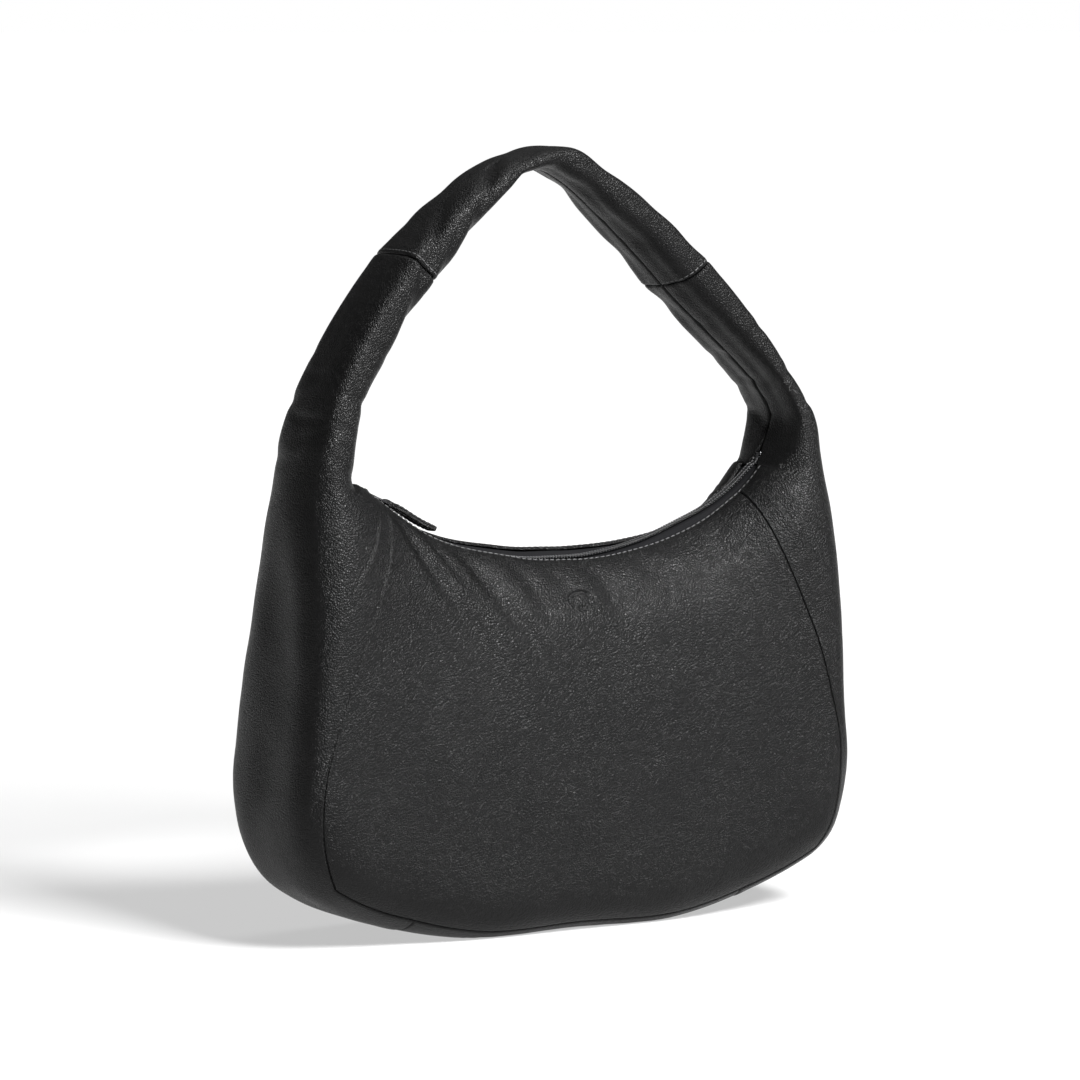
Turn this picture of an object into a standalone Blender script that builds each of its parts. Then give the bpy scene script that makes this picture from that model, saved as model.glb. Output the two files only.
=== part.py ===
"""Soft leather hobo bag with a built-in shoulder strap and a curved top zip.

Frame: +X is the wearer's right-hand end of the bag seen from the front, +Y is the back, +Z is up.
The origin is the centre of the flat base.  Lengths in this file are millimetres until a mesh is made.

The whole leather skin is one surface.  It is a loop of cross-sections that runs round the bag in the
XZ plane: along the base, up each end, and over the shoulder as a tube.  A place on it is (s, w):
s is the length along the loop from the middle of the base, negative to the left, and w runs from 0 on
the outer ridge to -1 or +1 on the mouth edge, or on the inner ridge of the strap, at the front or back.
Every leather and lining piece is a patch of that surface with a thickness, so the layers nest.
"""
import bmesh
import bpy
import numpy as np
from math import cos, pi, radians, sin, sqrt

# ---------------------------------------------------------------- driving dimensions (mm)
LEATHER = 1.6              # thickness of the outer leather
GAP = 0.3                  # kept between two pieces that touch
LINING = (2.1, 2.7)        # depth of the lining's two faces below the skin
GUSSET_LINING = (3.2, 3.8)       # deeper in the gussets, to pass under the zip's tapes
FACING = (3.4, 4.4)        # depth of the leather facing inside the mouth
BOARD = (58.0, 20.0, 2.1, 3.4)   # the base's stiffening board: half length, half width, bottom, top
SETTLE = 1.2               # the base's crown sinks this much onto the ground and goes flat
SETTLE_HEIGHT = 40.0       # the sinking dies out at this height
BASE_LINING = (3.9, 4.5)   # the lining passes over the board

MOUTH_RADIUS = 207.0       # the zip lies on an arc
MOUTH_CENTRE_Z = 416.0
MOUTH_HALF_GAP = 9.0       # from the zip's centre line to the leather edge
ZIP_HALF_ANGLE = radians(40.5)

# Body sections from the middle of the base up to the end of the mouth:
# outer ridge x, z; mouth x; half depth; depth of the outer rounding; squareness of the rounding
BODY = (
    (0.0, 0.0, 0.0, 53.0, 62.0, 4.4),
    (68.0, 0.0, 30.0, 53.0, 62.0, 4.4),
    (104.0, 6.5, 56.0, 53.0, 62.0, 4.0),
    (146.0, 20.5, 77.0, 52.5, 60.0, 3.5),
    (173.0, 41.0, 92.0, 52.0, 56.0, 3.1),
    (182.5, 66.0, 103.0, 51.5, 50.0, 2.9),
    (183.0, 97.0, 111.0, 51.0, 45.0, 2.8),
    (181.5, 130.0, 118.0, 49.5, 42.0, 2.7),
    (179.5, 163.0, 124.0, 47.0, 38.0, 2.6),
    (178.0, 197.0, 129.0, 43.0, 32.0, 2.5),
    (175.5, 230.0, 133.0, 38.0, 24.0, 2.4),
    (170.5, 262.0, 137.0, 34.0, 16.0, 2.3),
)
# Strap sections from the end of the mouth up to the crown: outer ridge x, z; inner ridge x, z.
# The strap stands a little askew, so its two sides differ.
LEFT_STRAP = (
    (162.0, 288.0, 138.0, 283.0),
    (151.0, 311.0, 129.0, 305.0),
    (137.0, 334.0, 116.0, 325.0),
    (122.0, 357.0, 103.0, 344.0),
    (104.0, 380.0, 88.5, 364.0),
    (77.0, 405.0, 67.0, 388.0),
    (42.0, 431.5, 37.5, 419.0),
)
RIGHT_STRAP = (
    (163.0, 288.0, 143.5, 284.0),
    (149.0, 310.0, 132.5, 303.5),
    (134.0, 331.0, 118.5, 322.5),
    (117.5, 351.0, 102.0, 340.0),
    (99.5, 371.0, 85.5, 357.5),
    (75.0, 394.0, 64.5, 379.0),
    (42.0, 419.0, 35.5, 404.5),
)
CROWN = (3.0, 443.5, 2.5, 428.0)
STRAP_HALF_WIDTH = (31.0, 28.0, 26.0, 24.8, 24.0, 23.4, 22.8)
CROWN_HALF_WIDTH = 22.4
STRAP_ROUND = (11.0, 9.5, 9.0, 8.2, 8.0, 7.6, 7.2)   # depth of the outer rounding
CROWN_ROUND = 7.0
STRAP_SQUARE = 2.6                                   # squareness of the tube's section
BODY_INNER_SQUARE = 2.0

# The seam between the front (or back) panel and the gusset: loop position against w
SEAM = ((0.165, 165.0), (0.27, 205.0), (0.43, 232.0), (0.62, 243.0), (0.82, 256.0), (1.0, 278.0))
BASE_W = SEAM[0][0]        # the base panel's edge
BASE_END = 110.0           # loop position of the seam between the base and a gusset
GUSSET_END = 437.0         # loop position where the gusset's stiff part ends
STRAP_SEAM = 548.0         # loop position of the seam between the gusset's end and the strap's top
MOUTH_CLOSES = (362.0, 424.0)   # the mouth's gap narrows to nothing between these

# Where the gusset's ridge stands against w of its edge, and the steps along its three stretches
GUSSET_RIDGE = ((0.165, 152.0), (0.27, 186.0), (0.43, 214.0), (0.62, 238.0), (0.82, 262.0), (1.0, 288.0))
PANEL_ROWS = 10
PANEL_COLUMNS = 18
BASE_COLUMNS = 12
GUSSET_BASE_STEPS = 3
GUSSET_MOUTH_STEPS = 6
LINING_MOUTH_STEPS = 4     # the gusset's lining stops short of the strap

STRAP_CORE_MARGIN = 7.6    # the webbing's clearance inside the tube on each side
STRAP_CORE_DEPTH = 5.0     # and from the tube's outer and inner ridges

COIL_TOP = 0.0             # drops below the zip's arc, measured outward from its centre
TAPE_DROP = (2.3, 2.8)
CHAIN_SLOT = 0.75          # half the slot that the slider's bridge runs in
COIL_HALF = 3.2
COIL_CHAMFER = 0.7
STOP_ANGLES = (radians(0.5), radians(1.5))   # back from the zip's end

SLIDER_ANGLE = radians(-36.6)    # where the slider stands when the zip is closed
SLIDER_HALF_ANGLE = radians(1.45)
SLIDER_HALF_WIDTH = 4.6
PLATE = 1.1                # thickness of the slider's plates
BAIL_RISE = (2.8, 3.9)     # the bail's bridge above the top plate
BAIL_HALF_WIDTH = 1.3
PIN_HEIGHT = 1.4           # the puller's pin above the top plate

PULLER_SLOPE = radians(-27.0)    # the puller lies along the mouth, just above it
TAB_DRIFT = radians(-9.0)  # and drifts slightly towards the front
LINK_WIRE = 1.5
LINK_LENGTH = 15.0         # from the slider's pin to the tab's axis
LINK_HALF_WIDTH = 4.4
LINK_CORNER = 1.9
TAB_START = 3.4            # the tab's loop reaches this far behind its axis
TAB_LENGTH = 38.0
TAB_WIDTH = 12.0
TAB_THICKNESS = 3.0
TAB_BEVEL = 0.7
TAB_SLOT = 1.4             # half the slot that the link's wire turns in
# Share of the tab's length, its half width and its thickness as shares of the above
TAB_SHAPE = (
    (0.0, 0.17, 1.36),
    (0.02, 0.19, 1.5),
    (0.13, 0.19, 1.5),
    (0.2, 0.36, 1.1),
    (0.35, 0.45, 1.0),
    (0.6, 0.5, 1.0),
    (0.97, 0.5, 1.0),
    (1.0, 0.47, 0.9),
)

POCKET = (3.1, 3.7)        # depth of the slip pocket's panel, on the back lining
POCKET_ROWS = (3, 8)       # it covers these rows and columns of the back panel's grid
POCKET_COLUMNS = (4, 14)

# ---------------------------------------------------------------- the skin as a surface


def mouth_point(x):
    """Height of the mouth's arc at x."""
    return MOUTH_CENTRE_Z - sqrt(MOUTH_RADIUS ** 2 - x ** 2)


def loop_table():
    """Rows round the whole loop from the crown, down the left side, along the base and up the right."""
    body = [(x, z, mx, mouth_point(mx), a, r, n, BODY_INNER_SQUARE) for x, z, mx, a, r, n in BODY]
    sides = []
    for strap in (LEFT_STRAP, RIGHT_STRAP):
        tube = [
            (*row, STRAP_HALF_WIDTH[i], STRAP_ROUND[i], STRAP_SQUARE, STRAP_SQUARE)
            for i, row in enumerate(strap)
        ]
        sides.append(body + tube)
    mirror = np.array([-1, 1, -1, 1, 1, 1, 1, 1])
    left = np.array(sides[0])[:0:-1] * mirror
    right = np.array(sides[1])
    crown = np.array([(*CROWN, CROWN_HALF_WIDTH, CROWN_ROUND, STRAP_SQUARE, STRAP_SQUARE)])
    rows = np.concatenate([crown, left, right, crown])
    steps = np.hypot(np.diff(rows[:, 0]), np.diff(rows[:, 1]))
    position = np.concatenate([[0.0], np.cumsum(steps)])
    return rows, position - position[len(left) + 1]


def loop_slopes(rows, position):
    """Slope of every row against the loop position; the loop's two ends meet at the crown."""
    slope = np.gradient(rows, position, axis=0)
    rise = rows[1] - rows[0] + rows[-1] - rows[-2]
    slope[0] = slope[-1] = rise / (position[1] - position[0] + position[-1] - position[-2])
    return slope


def hermite(xs, ys, slopes, x):
    """Smooth interpolation through the values ys at xs."""
    i = min(max(int(np.searchsorted(xs, x, side="right")) - 1, 0), len(xs) - 2)
    h = xs[i + 1] - xs[i]
    t = (x - xs[i]) / h
    return (
        (2 * t ** 3 - 3 * t ** 2 + 1) * ys[i]
        + (t ** 3 - 2 * t ** 2 + t) * h * slopes[i]
        + (3 * t ** 2 - 2 * t ** 3) * ys[i + 1]
        + (t ** 3 - t ** 2) * h * slopes[i + 1]
    )


LOOP_ROWS, LOOP_POSITION = loop_table()
LOOP_SLOPES = loop_slopes(LOOP_ROWS, LOOP_POSITION)


def section(s):
    """The section at loop position s."""
    return hermite(LOOP_POSITION, LOOP_ROWS, LOOP_SLOPES, s)


def mouth_gap(s):
    """Half the mouth's width at loop position s; zero where the leather closes into a tube."""
    low, high = MOUTH_CLOSES
    t = min(max((abs(s) - low) / (high - low), 0.0), 1.0)
    return MOUTH_HALF_GAP * (1.0 - t * t * (3.0 - 2.0 * t))


PROFILE_CACHE = {}


def profile(s):
    """Half a section: distances inward from the ridge and half depths, with their arc length."""
    key = round(s, 4)
    if key not in PROFILE_CACHE:
        ox, oz, mx, mz, half, rounding, n_out, n_in = section(s)
        span = sqrt((mx - ox) ** 2 + (mz - oz) ** 2)
        gap = mouth_gap(s)
        f = np.linspace(0.0, pi / 2, 90)
        c_out, s_out = np.cos(f) ** (2 / n_out), np.sin(f) ** (2 / n_out)
        c_in, s_in = np.cos(f) ** (2 / n_in), np.sin(f) ** (2 / n_in)
        inward = np.concatenate([rounding * (1 - c_out), (rounding + (span - rounding) * c_in)[-2::-1]])
        depth = np.concatenate([half * s_out, (gap + (half - gap) * s_in)[-2::-1]])
        arc = np.concatenate([[0.0], np.cumsum(np.hypot(np.diff(inward), np.diff(depth)))])
        axis = np.array([mx - ox, 0.0, mz - oz]) / span
        PROFILE_CACHE[key] = (np.array([ox, 0.0, oz]), axis, inward, depth, arc / arc[-1])
    return PROFILE_CACHE[key]


def skin(s, w):
    """A point of the outer surface."""
    start, axis, inward, depth, arc = profile(s)
    q = min(abs(w), 1.0)
    side = -1.0 if w < 0 else 1.0
    point = start + axis * np.interp(q, arc, inward)
    point[1] = side * np.interp(q, arc, depth)
    point[2] = max(point[2] - SETTLE * max(1.0 - point[2] / SETTLE_HEIGHT, 0.0), 0.0)
    return point


def inward_normal(s, w):
    """The unit normal that points into the leather."""
    ds, dw = 1.5, 0.012
    across = skin(s, min(w + dw, 1.0)) - skin(s, max(w - dw, -1.0))
    along = skin(min(s + ds, LOOP_POSITION[-1]), w) - skin(max(s - ds, LOOP_POSITION[0]), w)
    normal = np.cross(along, across)
    return normal / np.linalg.norm(normal)


def layer(s, w, depth):
    """A point at a depth below the outer surface."""
    return skin(s, w) + inward_normal(s, w) * depth


# ---------------------------------------------------------------- mesh helpers


def material(name, colour, roughness, metallic=0.0):
    """A Principled material of one colour."""
    mat = bpy.data.materials.new(name)
    mat.use_nodes = True
    shader = mat.node_tree.nodes["Principled BSDF"]
    shader.inputs["Base Color"].default_value = (*colour, 1.0)
    shader.inputs["Roughness"].default_value = roughness
    shader.inputs["Metallic"].default_value = metallic
    return mat


def add_object(name, mesh, mat, parent=None):
    """Links a mesh as a named object with its own material, under an optional empty."""
    mesh.materials.append(mat)
    obj = bpy.data.objects.new(name, mesh)
    bpy.context.collection.objects.link(obj)
    if parent is not None:
        obj.parent = parent
        obj.matrix_parent_inverse = parent.matrix_world.inverted()
    return obj


def mesh_from(name, points, faces):
    """A mesh in metres from points in millimetres, with its faces turned outward."""
    mesh = bpy.data.meshes.new(name)
    mesh.from_pydata([tuple(float(c) / 1000.0 for c in p) for p in points], [], faces)
    work = bmesh.new()
    work.from_mesh(mesh)
    bmesh.ops.recalc_face_normals(work, faces=work.faces)
    work.to_mesh(mesh)
    work.free()
    mesh.shade_smooth()
    mesh.set_sharp_from_angle(angle=radians(35.0))
    return mesh


def pull_in(grid, distance):
    """Moves a grid's border squarely towards its inside, so that neighbouring pieces keep a gap."""
    moved = grid.copy()
    for edge, inner in ((0, 1), (-1, -2)):
        for axis in (0, 1):
            border = grid.take(edge, axis=axis)
            step = grid.take(inner, axis=axis) - border
            along = np.gradient(border, axis=0)
            along = along / np.linalg.norm(along, axis=1)[:, None]
            step = step - along * np.sum(step * along, axis=1)[:, None]
            step = step / np.linalg.norm(step, axis=1)[:, None] * distance
            if axis == 0:
                moved[edge] += step
            else:
                moved[:, edge] += step
    return moved


def sheet_mesh(name, places, outer, inner):
    """A closed sheet over a grid of (s, w) places between two depths below the skin."""
    faces_at = []
    for depth in (outer, inner):
        grid = np.array([[layer(s, w, depth) for s, w in row] for row in places])
        faces_at.append(pull_in(grid, GAP / 2))
    rows, cols = faces_at[0].shape[:2]
    points = np.concatenate([g.reshape(-1, 3) for g in faces_at])
    offset = rows * cols

    def at(i, j, k):
        return k * offset + i * cols + j

    faces = []
    for i in range(rows - 1):
        for j in range(cols - 1):
            faces.append((at(i, j, 0), at(i + 1, j, 0), at(i + 1, j + 1, 0), at(i, j + 1, 0)))
            faces.append((at(i, j, 1), at(i, j + 1, 1), at(i + 1, j + 1, 1), at(i + 1, j, 1)))
    border = [(i, 0) for i in range(rows)] + [(rows - 1, j) for j in range(1, cols)]
    border += [(i, cols - 1) for i in range(rows - 2, -1, -1)] + [(0, j) for j in range(cols - 2, 0, -1)]
    for a, b in zip(border, border[1:] + border[:1]):
        faces.append((at(*a, 0), at(*b, 0), at(*b, 1), at(*a, 1)))
    return mesh_from(name, points, faces)


def loft_mesh(name, rings):
    """A closed solid through equal rings of points, with flat caps."""
    n = len(rings[0])
    points = np.concatenate([np.asarray(r, float) for r in rings])
    faces = [tuple(range(n)), tuple(range(len(points) - n, len(points)))]
    for k in range(len(rings) - 1):
        for j in range(n):
            a, b = k * n + j, k * n + (j + 1) % n
            faces.append((a, b, b + n, a + n))
    return mesh_from(name, points, faces)


# ---------------------------------------------------------------- patches of the skin


def along_table(table, q):
    """A loop position read off a short table against w."""
    qs, positions = zip(*table)
    return hermite(qs, positions, np.gradient(positions, qs), q)


def panel_row_w(i):
    """Height on the section of a panel's row, from the base seam (0) to the mouth."""
    return BASE_W + (1.0 - BASE_W) * i / PANEL_ROWS


def panel_places(side, first=0, last=PANEL_ROWS):
    """Grid of the front (side -1) or back (+1) panel, from the base seam up to the mouth."""
    places = []
    for i in range(first, last + 1):
        q = panel_row_w(i)
        half = along_table(SEAM, q)
        columns = np.linspace(-half, half, PANEL_COLUMNS + 1)
        places.append([(s, side * q) for s in columns])
    return places


def gusset_rungs():
    """(ridge position, edge position, w of the edge) up a gusset; the edge follows the panel's rows."""
    corner, corner_ridge = SEAM[0][1], GUSSET_RIDGE[0][1]
    rungs = []
    for f in np.linspace(0.0, 1.0, GUSSET_BASE_STEPS + 1)[:-1]:
        rungs.append((BASE_END + (corner_ridge - BASE_END) * f, BASE_END + (corner - BASE_END) * f, BASE_W))
    for i in range(PANEL_ROWS + 1):
        q = panel_row_w(i)
        rungs.append((along_table(GUSSET_RIDGE, q), along_table(SEAM, q), q))
    ridge, edge, _ = rungs[-1]
    for f in np.linspace(0.0, 1.0, GUSSET_MOUTH_STEPS + 1)[1:]:
        rungs.append((ridge + (GUSSET_END - ridge) * f, edge + (GUSSET_END - edge) * f, 1.0))
    return rungs


def gusset_places(end, rungs, half_columns=6):
    """Grid of a gusset (end -1 left, +1 right): rungs from the front edge over the ridge to the back."""
    places = []
    for ridge, edge, edge_w in rungs:
        row = []
        for j in range(-half_columns, half_columns + 1):
            f = abs(j) / half_columns
            row.append((end * (ridge + (edge - ridge) * f), np.sign(j) * edge_w * f))
        places.append(row)
    return places


def base_places():
    """Grid of the base between the panels' lower seams."""
    across = np.linspace(-BASE_W, BASE_W, 5)
    return [[(s, w) for w in across] for s in np.linspace(-BASE_END, BASE_END, BASE_COLUMNS + 1)]


def tube_places(start, stop, rows, half_columns=6):
    """Grid of a stretch of the strap's tube between two loop positions on one side."""
    columns = np.linspace(-1.0, 1.0, 2 * half_columns + 1)
    return [[(s, w) for w in columns] for s in np.linspace(start, stop, rows + 1)]


def make_leather(mats):
    """The outer leather: two panels, two gussets, the base, the strap's roots and its top."""
    leather = (0.0, LEATHER)
    pieces = {
        "front_panel": panel_places(-1),
        "back_panel": panel_places(1),
        "left_gusset": gusset_places(-1, gusset_rungs()),
        "right_gusset": gusset_places(1, gusset_rungs()),
        "base_panel": base_places(),
        "left_strap_root": tube_places(-GUSSET_END, -STRAP_SEAM, 6),
        "right_strap_root": tube_places(GUSSET_END, STRAP_SEAM, 6),
    }
    left_end, right_end = LOOP_POSITION[0], LOOP_POSITION[-1]
    top = tube_places(-STRAP_SEAM, left_end, 7) + tube_places(right_end, STRAP_SEAM, 7)[1:]
    pieces["strap_top"] = top
    for name, places in pieces.items():
        add_object(name, sheet_mesh(name, places, *leather), mats["leather"].copy())


def make_lining(mats):
    """The fabric lining under the leather, and the leather facings inside the mouth."""
    facing_rows = 2
    top = PANEL_ROWS - facing_rows
    for name, side in (("front", -1), ("back", 1)):
        places = panel_places(side, 0, top)
        add_object("lining_" + name, sheet_mesh("lining", places, *LINING), mats["lining"].copy())
        places = panel_places(side, top, PANEL_ROWS)
        add_object("mouth_facing_" + name, sheet_mesh("facing", places, *FACING), mats["leather"].copy())
    rungs = gusset_rungs()[:GUSSET_BASE_STEPS + PANEL_ROWS + 1 + LINING_MOUTH_STEPS]
    for name, end in (("left", -1), ("right", 1)):
        mesh = sheet_mesh("lining", gusset_places(end, rungs), *GUSSET_LINING)
        add_object("lining_" + name, mesh, mats["lining"].copy())
    add_object("lining_base", sheet_mesh("lining", base_places(), *BASE_LINING), mats["lining"].copy())
    pocket = [row[POCKET_COLUMNS[0]:POCKET_COLUMNS[1] + 1] for row in panel_places(1, *POCKET_ROWS)]
    add_object("slip_pocket", sheet_mesh("pocket", pocket, *POCKET), mats["lining"].copy())
    x, y, low, high = BOARD
    rings = [[(end, -y, low), (end, y, low), (end, y, high), (end, -y, high)] for end in (-x, x)]
    add_object("base_stiffener", loft_mesh("stiffener", rings), mats["board"].copy())


def make_strap_core(mats):
    """The webbing that fills and carries the strap's top."""
    positions = list(np.linspace(-STRAP_SEAM - 4.0, LOOP_POSITION[0], 7))
    positions += list(np.linspace(LOOP_POSITION[-1], STRAP_SEAM + 4.0, 7))[1:]
    rings = []
    for s in positions:
        ox, oz, mx, mz, half = section(s)[:5]
        outer, inner = np.array([ox, 0.0, oz]), np.array([mx, 0.0, mz])
        inward = (inner - outer) / np.linalg.norm(inner - outer)
        low, high = outer + inward * STRAP_CORE_DEPTH, inner - inward * STRAP_CORE_DEPTH
        wide = np.array([0.0, half - STRAP_CORE_MARGIN, 0.0])
        rings.append([low - wide, low + wide, high + wide, high - wide])
    add_object("strap_core", loft_mesh("core", rings), mats["webbing"].copy())


# ---------------------------------------------------------------- the mouth's zip


def on_arc(angle, drop, y):
    """A point on the zip's arc: angle from straight down, positive to the right; drop is outward."""
    radius = MOUTH_RADIUS + drop
    return np.array([radius * sin(angle), y, MOUTH_CENTRE_Z - radius * cos(angle)])


def arc_strip(name, first, last, steps, section_at):
    """A strip along the zip's arc whose section (drop, y) may change with the angle."""
    rings = []
    for angle in np.linspace(first, last, steps + 1):
        rings.append([on_arc(angle, drop, y) for drop, y in section_at(angle)])
    return loft_mesh(name, rings)


def position_at(angle):
    """Loop position whose mouth point lies at an angle of the zip's arc."""
    target = abs(MOUTH_RADIUS * sin(angle))
    low, high = 0.0, 420.0
    for _ in range(40):
        middle = (low + high) / 2
        if section(middle)[2] < target:
            low = middle
        else:
            high = middle
    return low


def make_zip(mats):
    """Tapes and coils for the front and back halves, and the end stops."""
    for name, side in (("front", -1), ("back", 1)):

        def tape_section(angle, side=side):
            wide = mouth_gap(position_at(angle))
            top, bottom = TAPE_DROP
            inner, outer = side * CHAIN_SLOT, side * wide
            return [(top, inner), (top, outer), (bottom, outer), (bottom, inner)]

        def coil_section(angle, side=side):
            inner, outer = side * CHAIN_SLOT, side * COIL_HALF
            chamfer = side * COIL_CHAMFER
            bottom = TAPE_DROP[0] - GAP
            return [(COIL_TOP, inner), (COIL_TOP, outer - chamfer), (COIL_TOP + COIL_CHAMFER, outer),
                    (bottom, outer), (bottom, inner)]

        tape = arc_strip("tape", -ZIP_HALF_ANGLE, ZIP_HALF_ANGLE, 26, tape_section)
        add_object("zip_tape_" + name, tape, mats["tape"].copy())
        inner_angle = ZIP_HALF_ANGLE - radians(1.6)
        coil = arc_strip("coil", -inner_angle, inner_angle, 26, coil_section)
        add_object("zip_coil_" + name, coil, mats["coil"].copy())
    for name, end in (("left", -1), ("right", 1)):
        first = end * (ZIP_HALF_ANGLE - STOP_ANGLES[1])
        last = end * (ZIP_HALF_ANGLE - STOP_ANGLES[0])

        def stop_section(angle):
            high, low, half = COIL_TOP - 0.3, TAPE_DROP[0] - GAP, COIL_HALF - 0.4
            return [(high, -half), (high, half), (low, half), (low, -half)]

        stop = arc_strip("stop", min(first, last), max(first, last), 1, stop_section)
        add_object("zip_stop_" + name, stop, mats["metal"].copy())


def empty(name, location):
    """An empty on a joint's axis."""
    obj = bpy.data.objects.new(name, None)
    bpy.context.collection.objects.link(obj)
    obj.location = tuple(c / 1000.0 for c in location)
    bpy.context.view_layer.update()
    return obj


def unite(name, meshes):
    """One closed mesh from overlapping closed meshes, by Boolean union."""
    objects = []
    for i, mesh in enumerate(meshes):
        obj = bpy.data.objects.new(f"{name}_{i}", mesh)
        bpy.context.collection.objects.link(obj)
        objects.append(obj)
    base = objects[0]
    for other in objects[1:]:
        modifier = base.modifiers.new("union", "BOOLEAN")
        modifier.operation = "UNION"
        modifier.solver = "EXACT"
        modifier.object = other
    bpy.context.view_layer.update()
    graph = bpy.context.evaluated_depsgraph_get()
    result = bpy.data.meshes.new_from_object(base.evaluated_get(graph))
    result.name = name
    for obj in objects:
        bpy.data.objects.remove(obj, do_unlink=True)
    return result


def slider_block(half_low, half_high, drop_low, drop_high, y_low, y_high):
    """A block on the slider, bounded by angles (as fractions), drops and depths."""
    rings = []
    for fraction in (half_low, half_high):
        angle = SLIDER_ANGLE + fraction * SLIDER_HALF_ANGLE
        corners = ((drop_low, y_low), (drop_low, y_high), (drop_high, y_high), (drop_high, y_low))
        rings.append([on_arc(angle, drop, y) for drop, y in corners])
    return loft_mesh("block", rings)


def make_slider(mats, sled):
    """The slider: two plates round the coil, joined by a bridge, with a bail for the puller."""
    top, low = COIL_TOP - GAP, TAPE_DROP[1] + GAP
    face = top - PLATE
    sunk = 0.4
    half, bridge, bail = SLIDER_HALF_WIDTH, CHAIN_SLOT - GAP, BAIL_HALF_WIDTH
    leg_low, leg_high = face + sunk, face - BAIL_RISE[0] - sunk
    blocks = [
        slider_block(-1.0, 1.0, face, top, -half, half),
        slider_block(-1.0, 1.0, low, low + PLATE, -half, half),
        slider_block(-0.75, -0.05, top - sunk, low + sunk, -bridge, bridge),
        slider_block(-0.62, -0.32, leg_high, leg_low, -bail, bail),
        slider_block(0.32, 0.62, leg_high, leg_low, -bail, bail),
        slider_block(-0.62, 0.62, face - BAIL_RISE[1], face - BAIL_RISE[0], -bail, bail),
    ]
    add_object("slider_body", unite("slider", blocks), mats["metal"].copy(), sled)


def puller_frame():
    """The puller pin's place and the directions along the tab, across it and out of it."""
    pin = on_arc(SLIDER_ANGLE, COIL_TOP - GAP - PLATE - PIN_HEIGHT, 0.0)
    slope = PULLER_SLOPE
    along = np.array([cos(slope) * cos(TAB_DRIFT), sin(TAB_DRIFT), sin(slope) * cos(TAB_DRIFT)])
    across = np.array([-sin(TAB_DRIFT) * cos(slope), cos(TAB_DRIFT), -sin(TAB_DRIFT) * sin(slope)])
    return pin, along, across, np.cross(along, across)


def flat_ring(outline, hole, thickness, place):
    """A flat plate with one hole: two outlines of equally many points, both given as (u, v)."""
    n = len(outline)
    points = []
    for level in (-thickness / 2, thickness / 2):
        points += [place(u, v, level) for u, v in outline]
        points += [place(u, v, level) for u, v in hole]
    faces = []
    for j in range(n):
        k = (j + 1) % n
        faces.append((j, k, n + k, n + j))
        faces.append((2 * n + j, 3 * n + j, 3 * n + k, 2 * n + k))
        faces.append((j, 2 * n + j, 2 * n + k, k))
        faces.append((n + j, n + k, 3 * n + k, 3 * n + j))
    return points, faces


def rounded(u0, u1, half, radius, steps=3):
    """Points of a rounded rectangle from u0 to u1, counter-clockwise."""
    corners = ((u1 - radius, half - radius, 0), (u0 + radius, half - radius, 90),
               (u0 + radius, -half + radius, 180), (u1 - radius, -half + radius, 270))
    points = []
    for u, v, start in corners:
        for k in range(steps + 1):
            angle = radians(start + 90.0 * k / steps)
            points.append((u + radius * cos(angle), v + radius * sin(angle)))
    return points


def make_puller(mats, link_axis, tab_axis):
    """The metal link on the slider and the two-layer leather tab on the link."""
    pin, along, across, out = puller_frame()

    def place(u, v, level):
        return pin + along * u + across * v + out * level

    wire, far = LINK_WIRE / 2, LINK_LENGTH
    outline = rounded(-wire, far + wire, LINK_HALF_WIDTH, LINK_CORNER)
    hole = rounded(wire, far - wire, LINK_HALF_WIDTH - LINK_WIRE - 0.2, LINK_CORNER - 1.1)
    points, faces = flat_ring(outline, hole, LINK_WIRE, place)
    add_object("puller_link", mesh_from("link", points, faces), mats["metal"].copy(), link_axis)

    tab = []
    bevel = TAB_BEVEL
    for share, width, thickness in TAB_SHAPE:
        u = far - TAB_START + TAB_LENGTH * share
        v, h = TAB_WIDTH * width, TAB_THICKNESS * thickness / 2
        tab.append([place(u, -v, bevel - h), place(u, bevel - v, -h), place(u, v - bevel, -h),
                    place(u, v, bevel - h), place(u, v, h - bevel), place(u, v - bevel, h),
                    place(u, bevel - v, h), place(u, -v, h - bevel)])
    body = loft_mesh("tab", tab)
    corners = ((far - TAB_SLOT, -TAB_WIDTH), (far + TAB_SLOT, -TAB_WIDTH),
               (far + TAB_SLOT, TAB_WIDTH), (far - TAB_SLOT, TAB_WIDTH))
    slot = [[place(u, v, level) for u, v in corners] for level in (-TAB_SLOT, TAB_SLOT)]
    cutter = bpy.data.objects.new("tab_slot_cutter", loft_mesh("slot", slot))
    bpy.context.collection.objects.link(cutter)
    cutter.hide_render = True
    cutter.display_type = "WIRE"
    obj = add_object("pull_tab", body, mats["leather"].copy(), tab_axis)
    cut = obj.modifiers.new("slot", "BOOLEAN")
    cut.operation = "DIFFERENCE"
    cut.solver = "EXACT"
    cut.object = cutter
    cutter.parent = tab_axis
    cutter.matrix_parent_inverse = tab_axis.matrix_world.inverted()


# ---------------------------------------------------------------- scene


def clear_scene():
    """Removes whatever the file opened with."""
    for obj in list(bpy.data.objects):
        bpy.data.objects.remove(obj, do_unlink=True)


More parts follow.
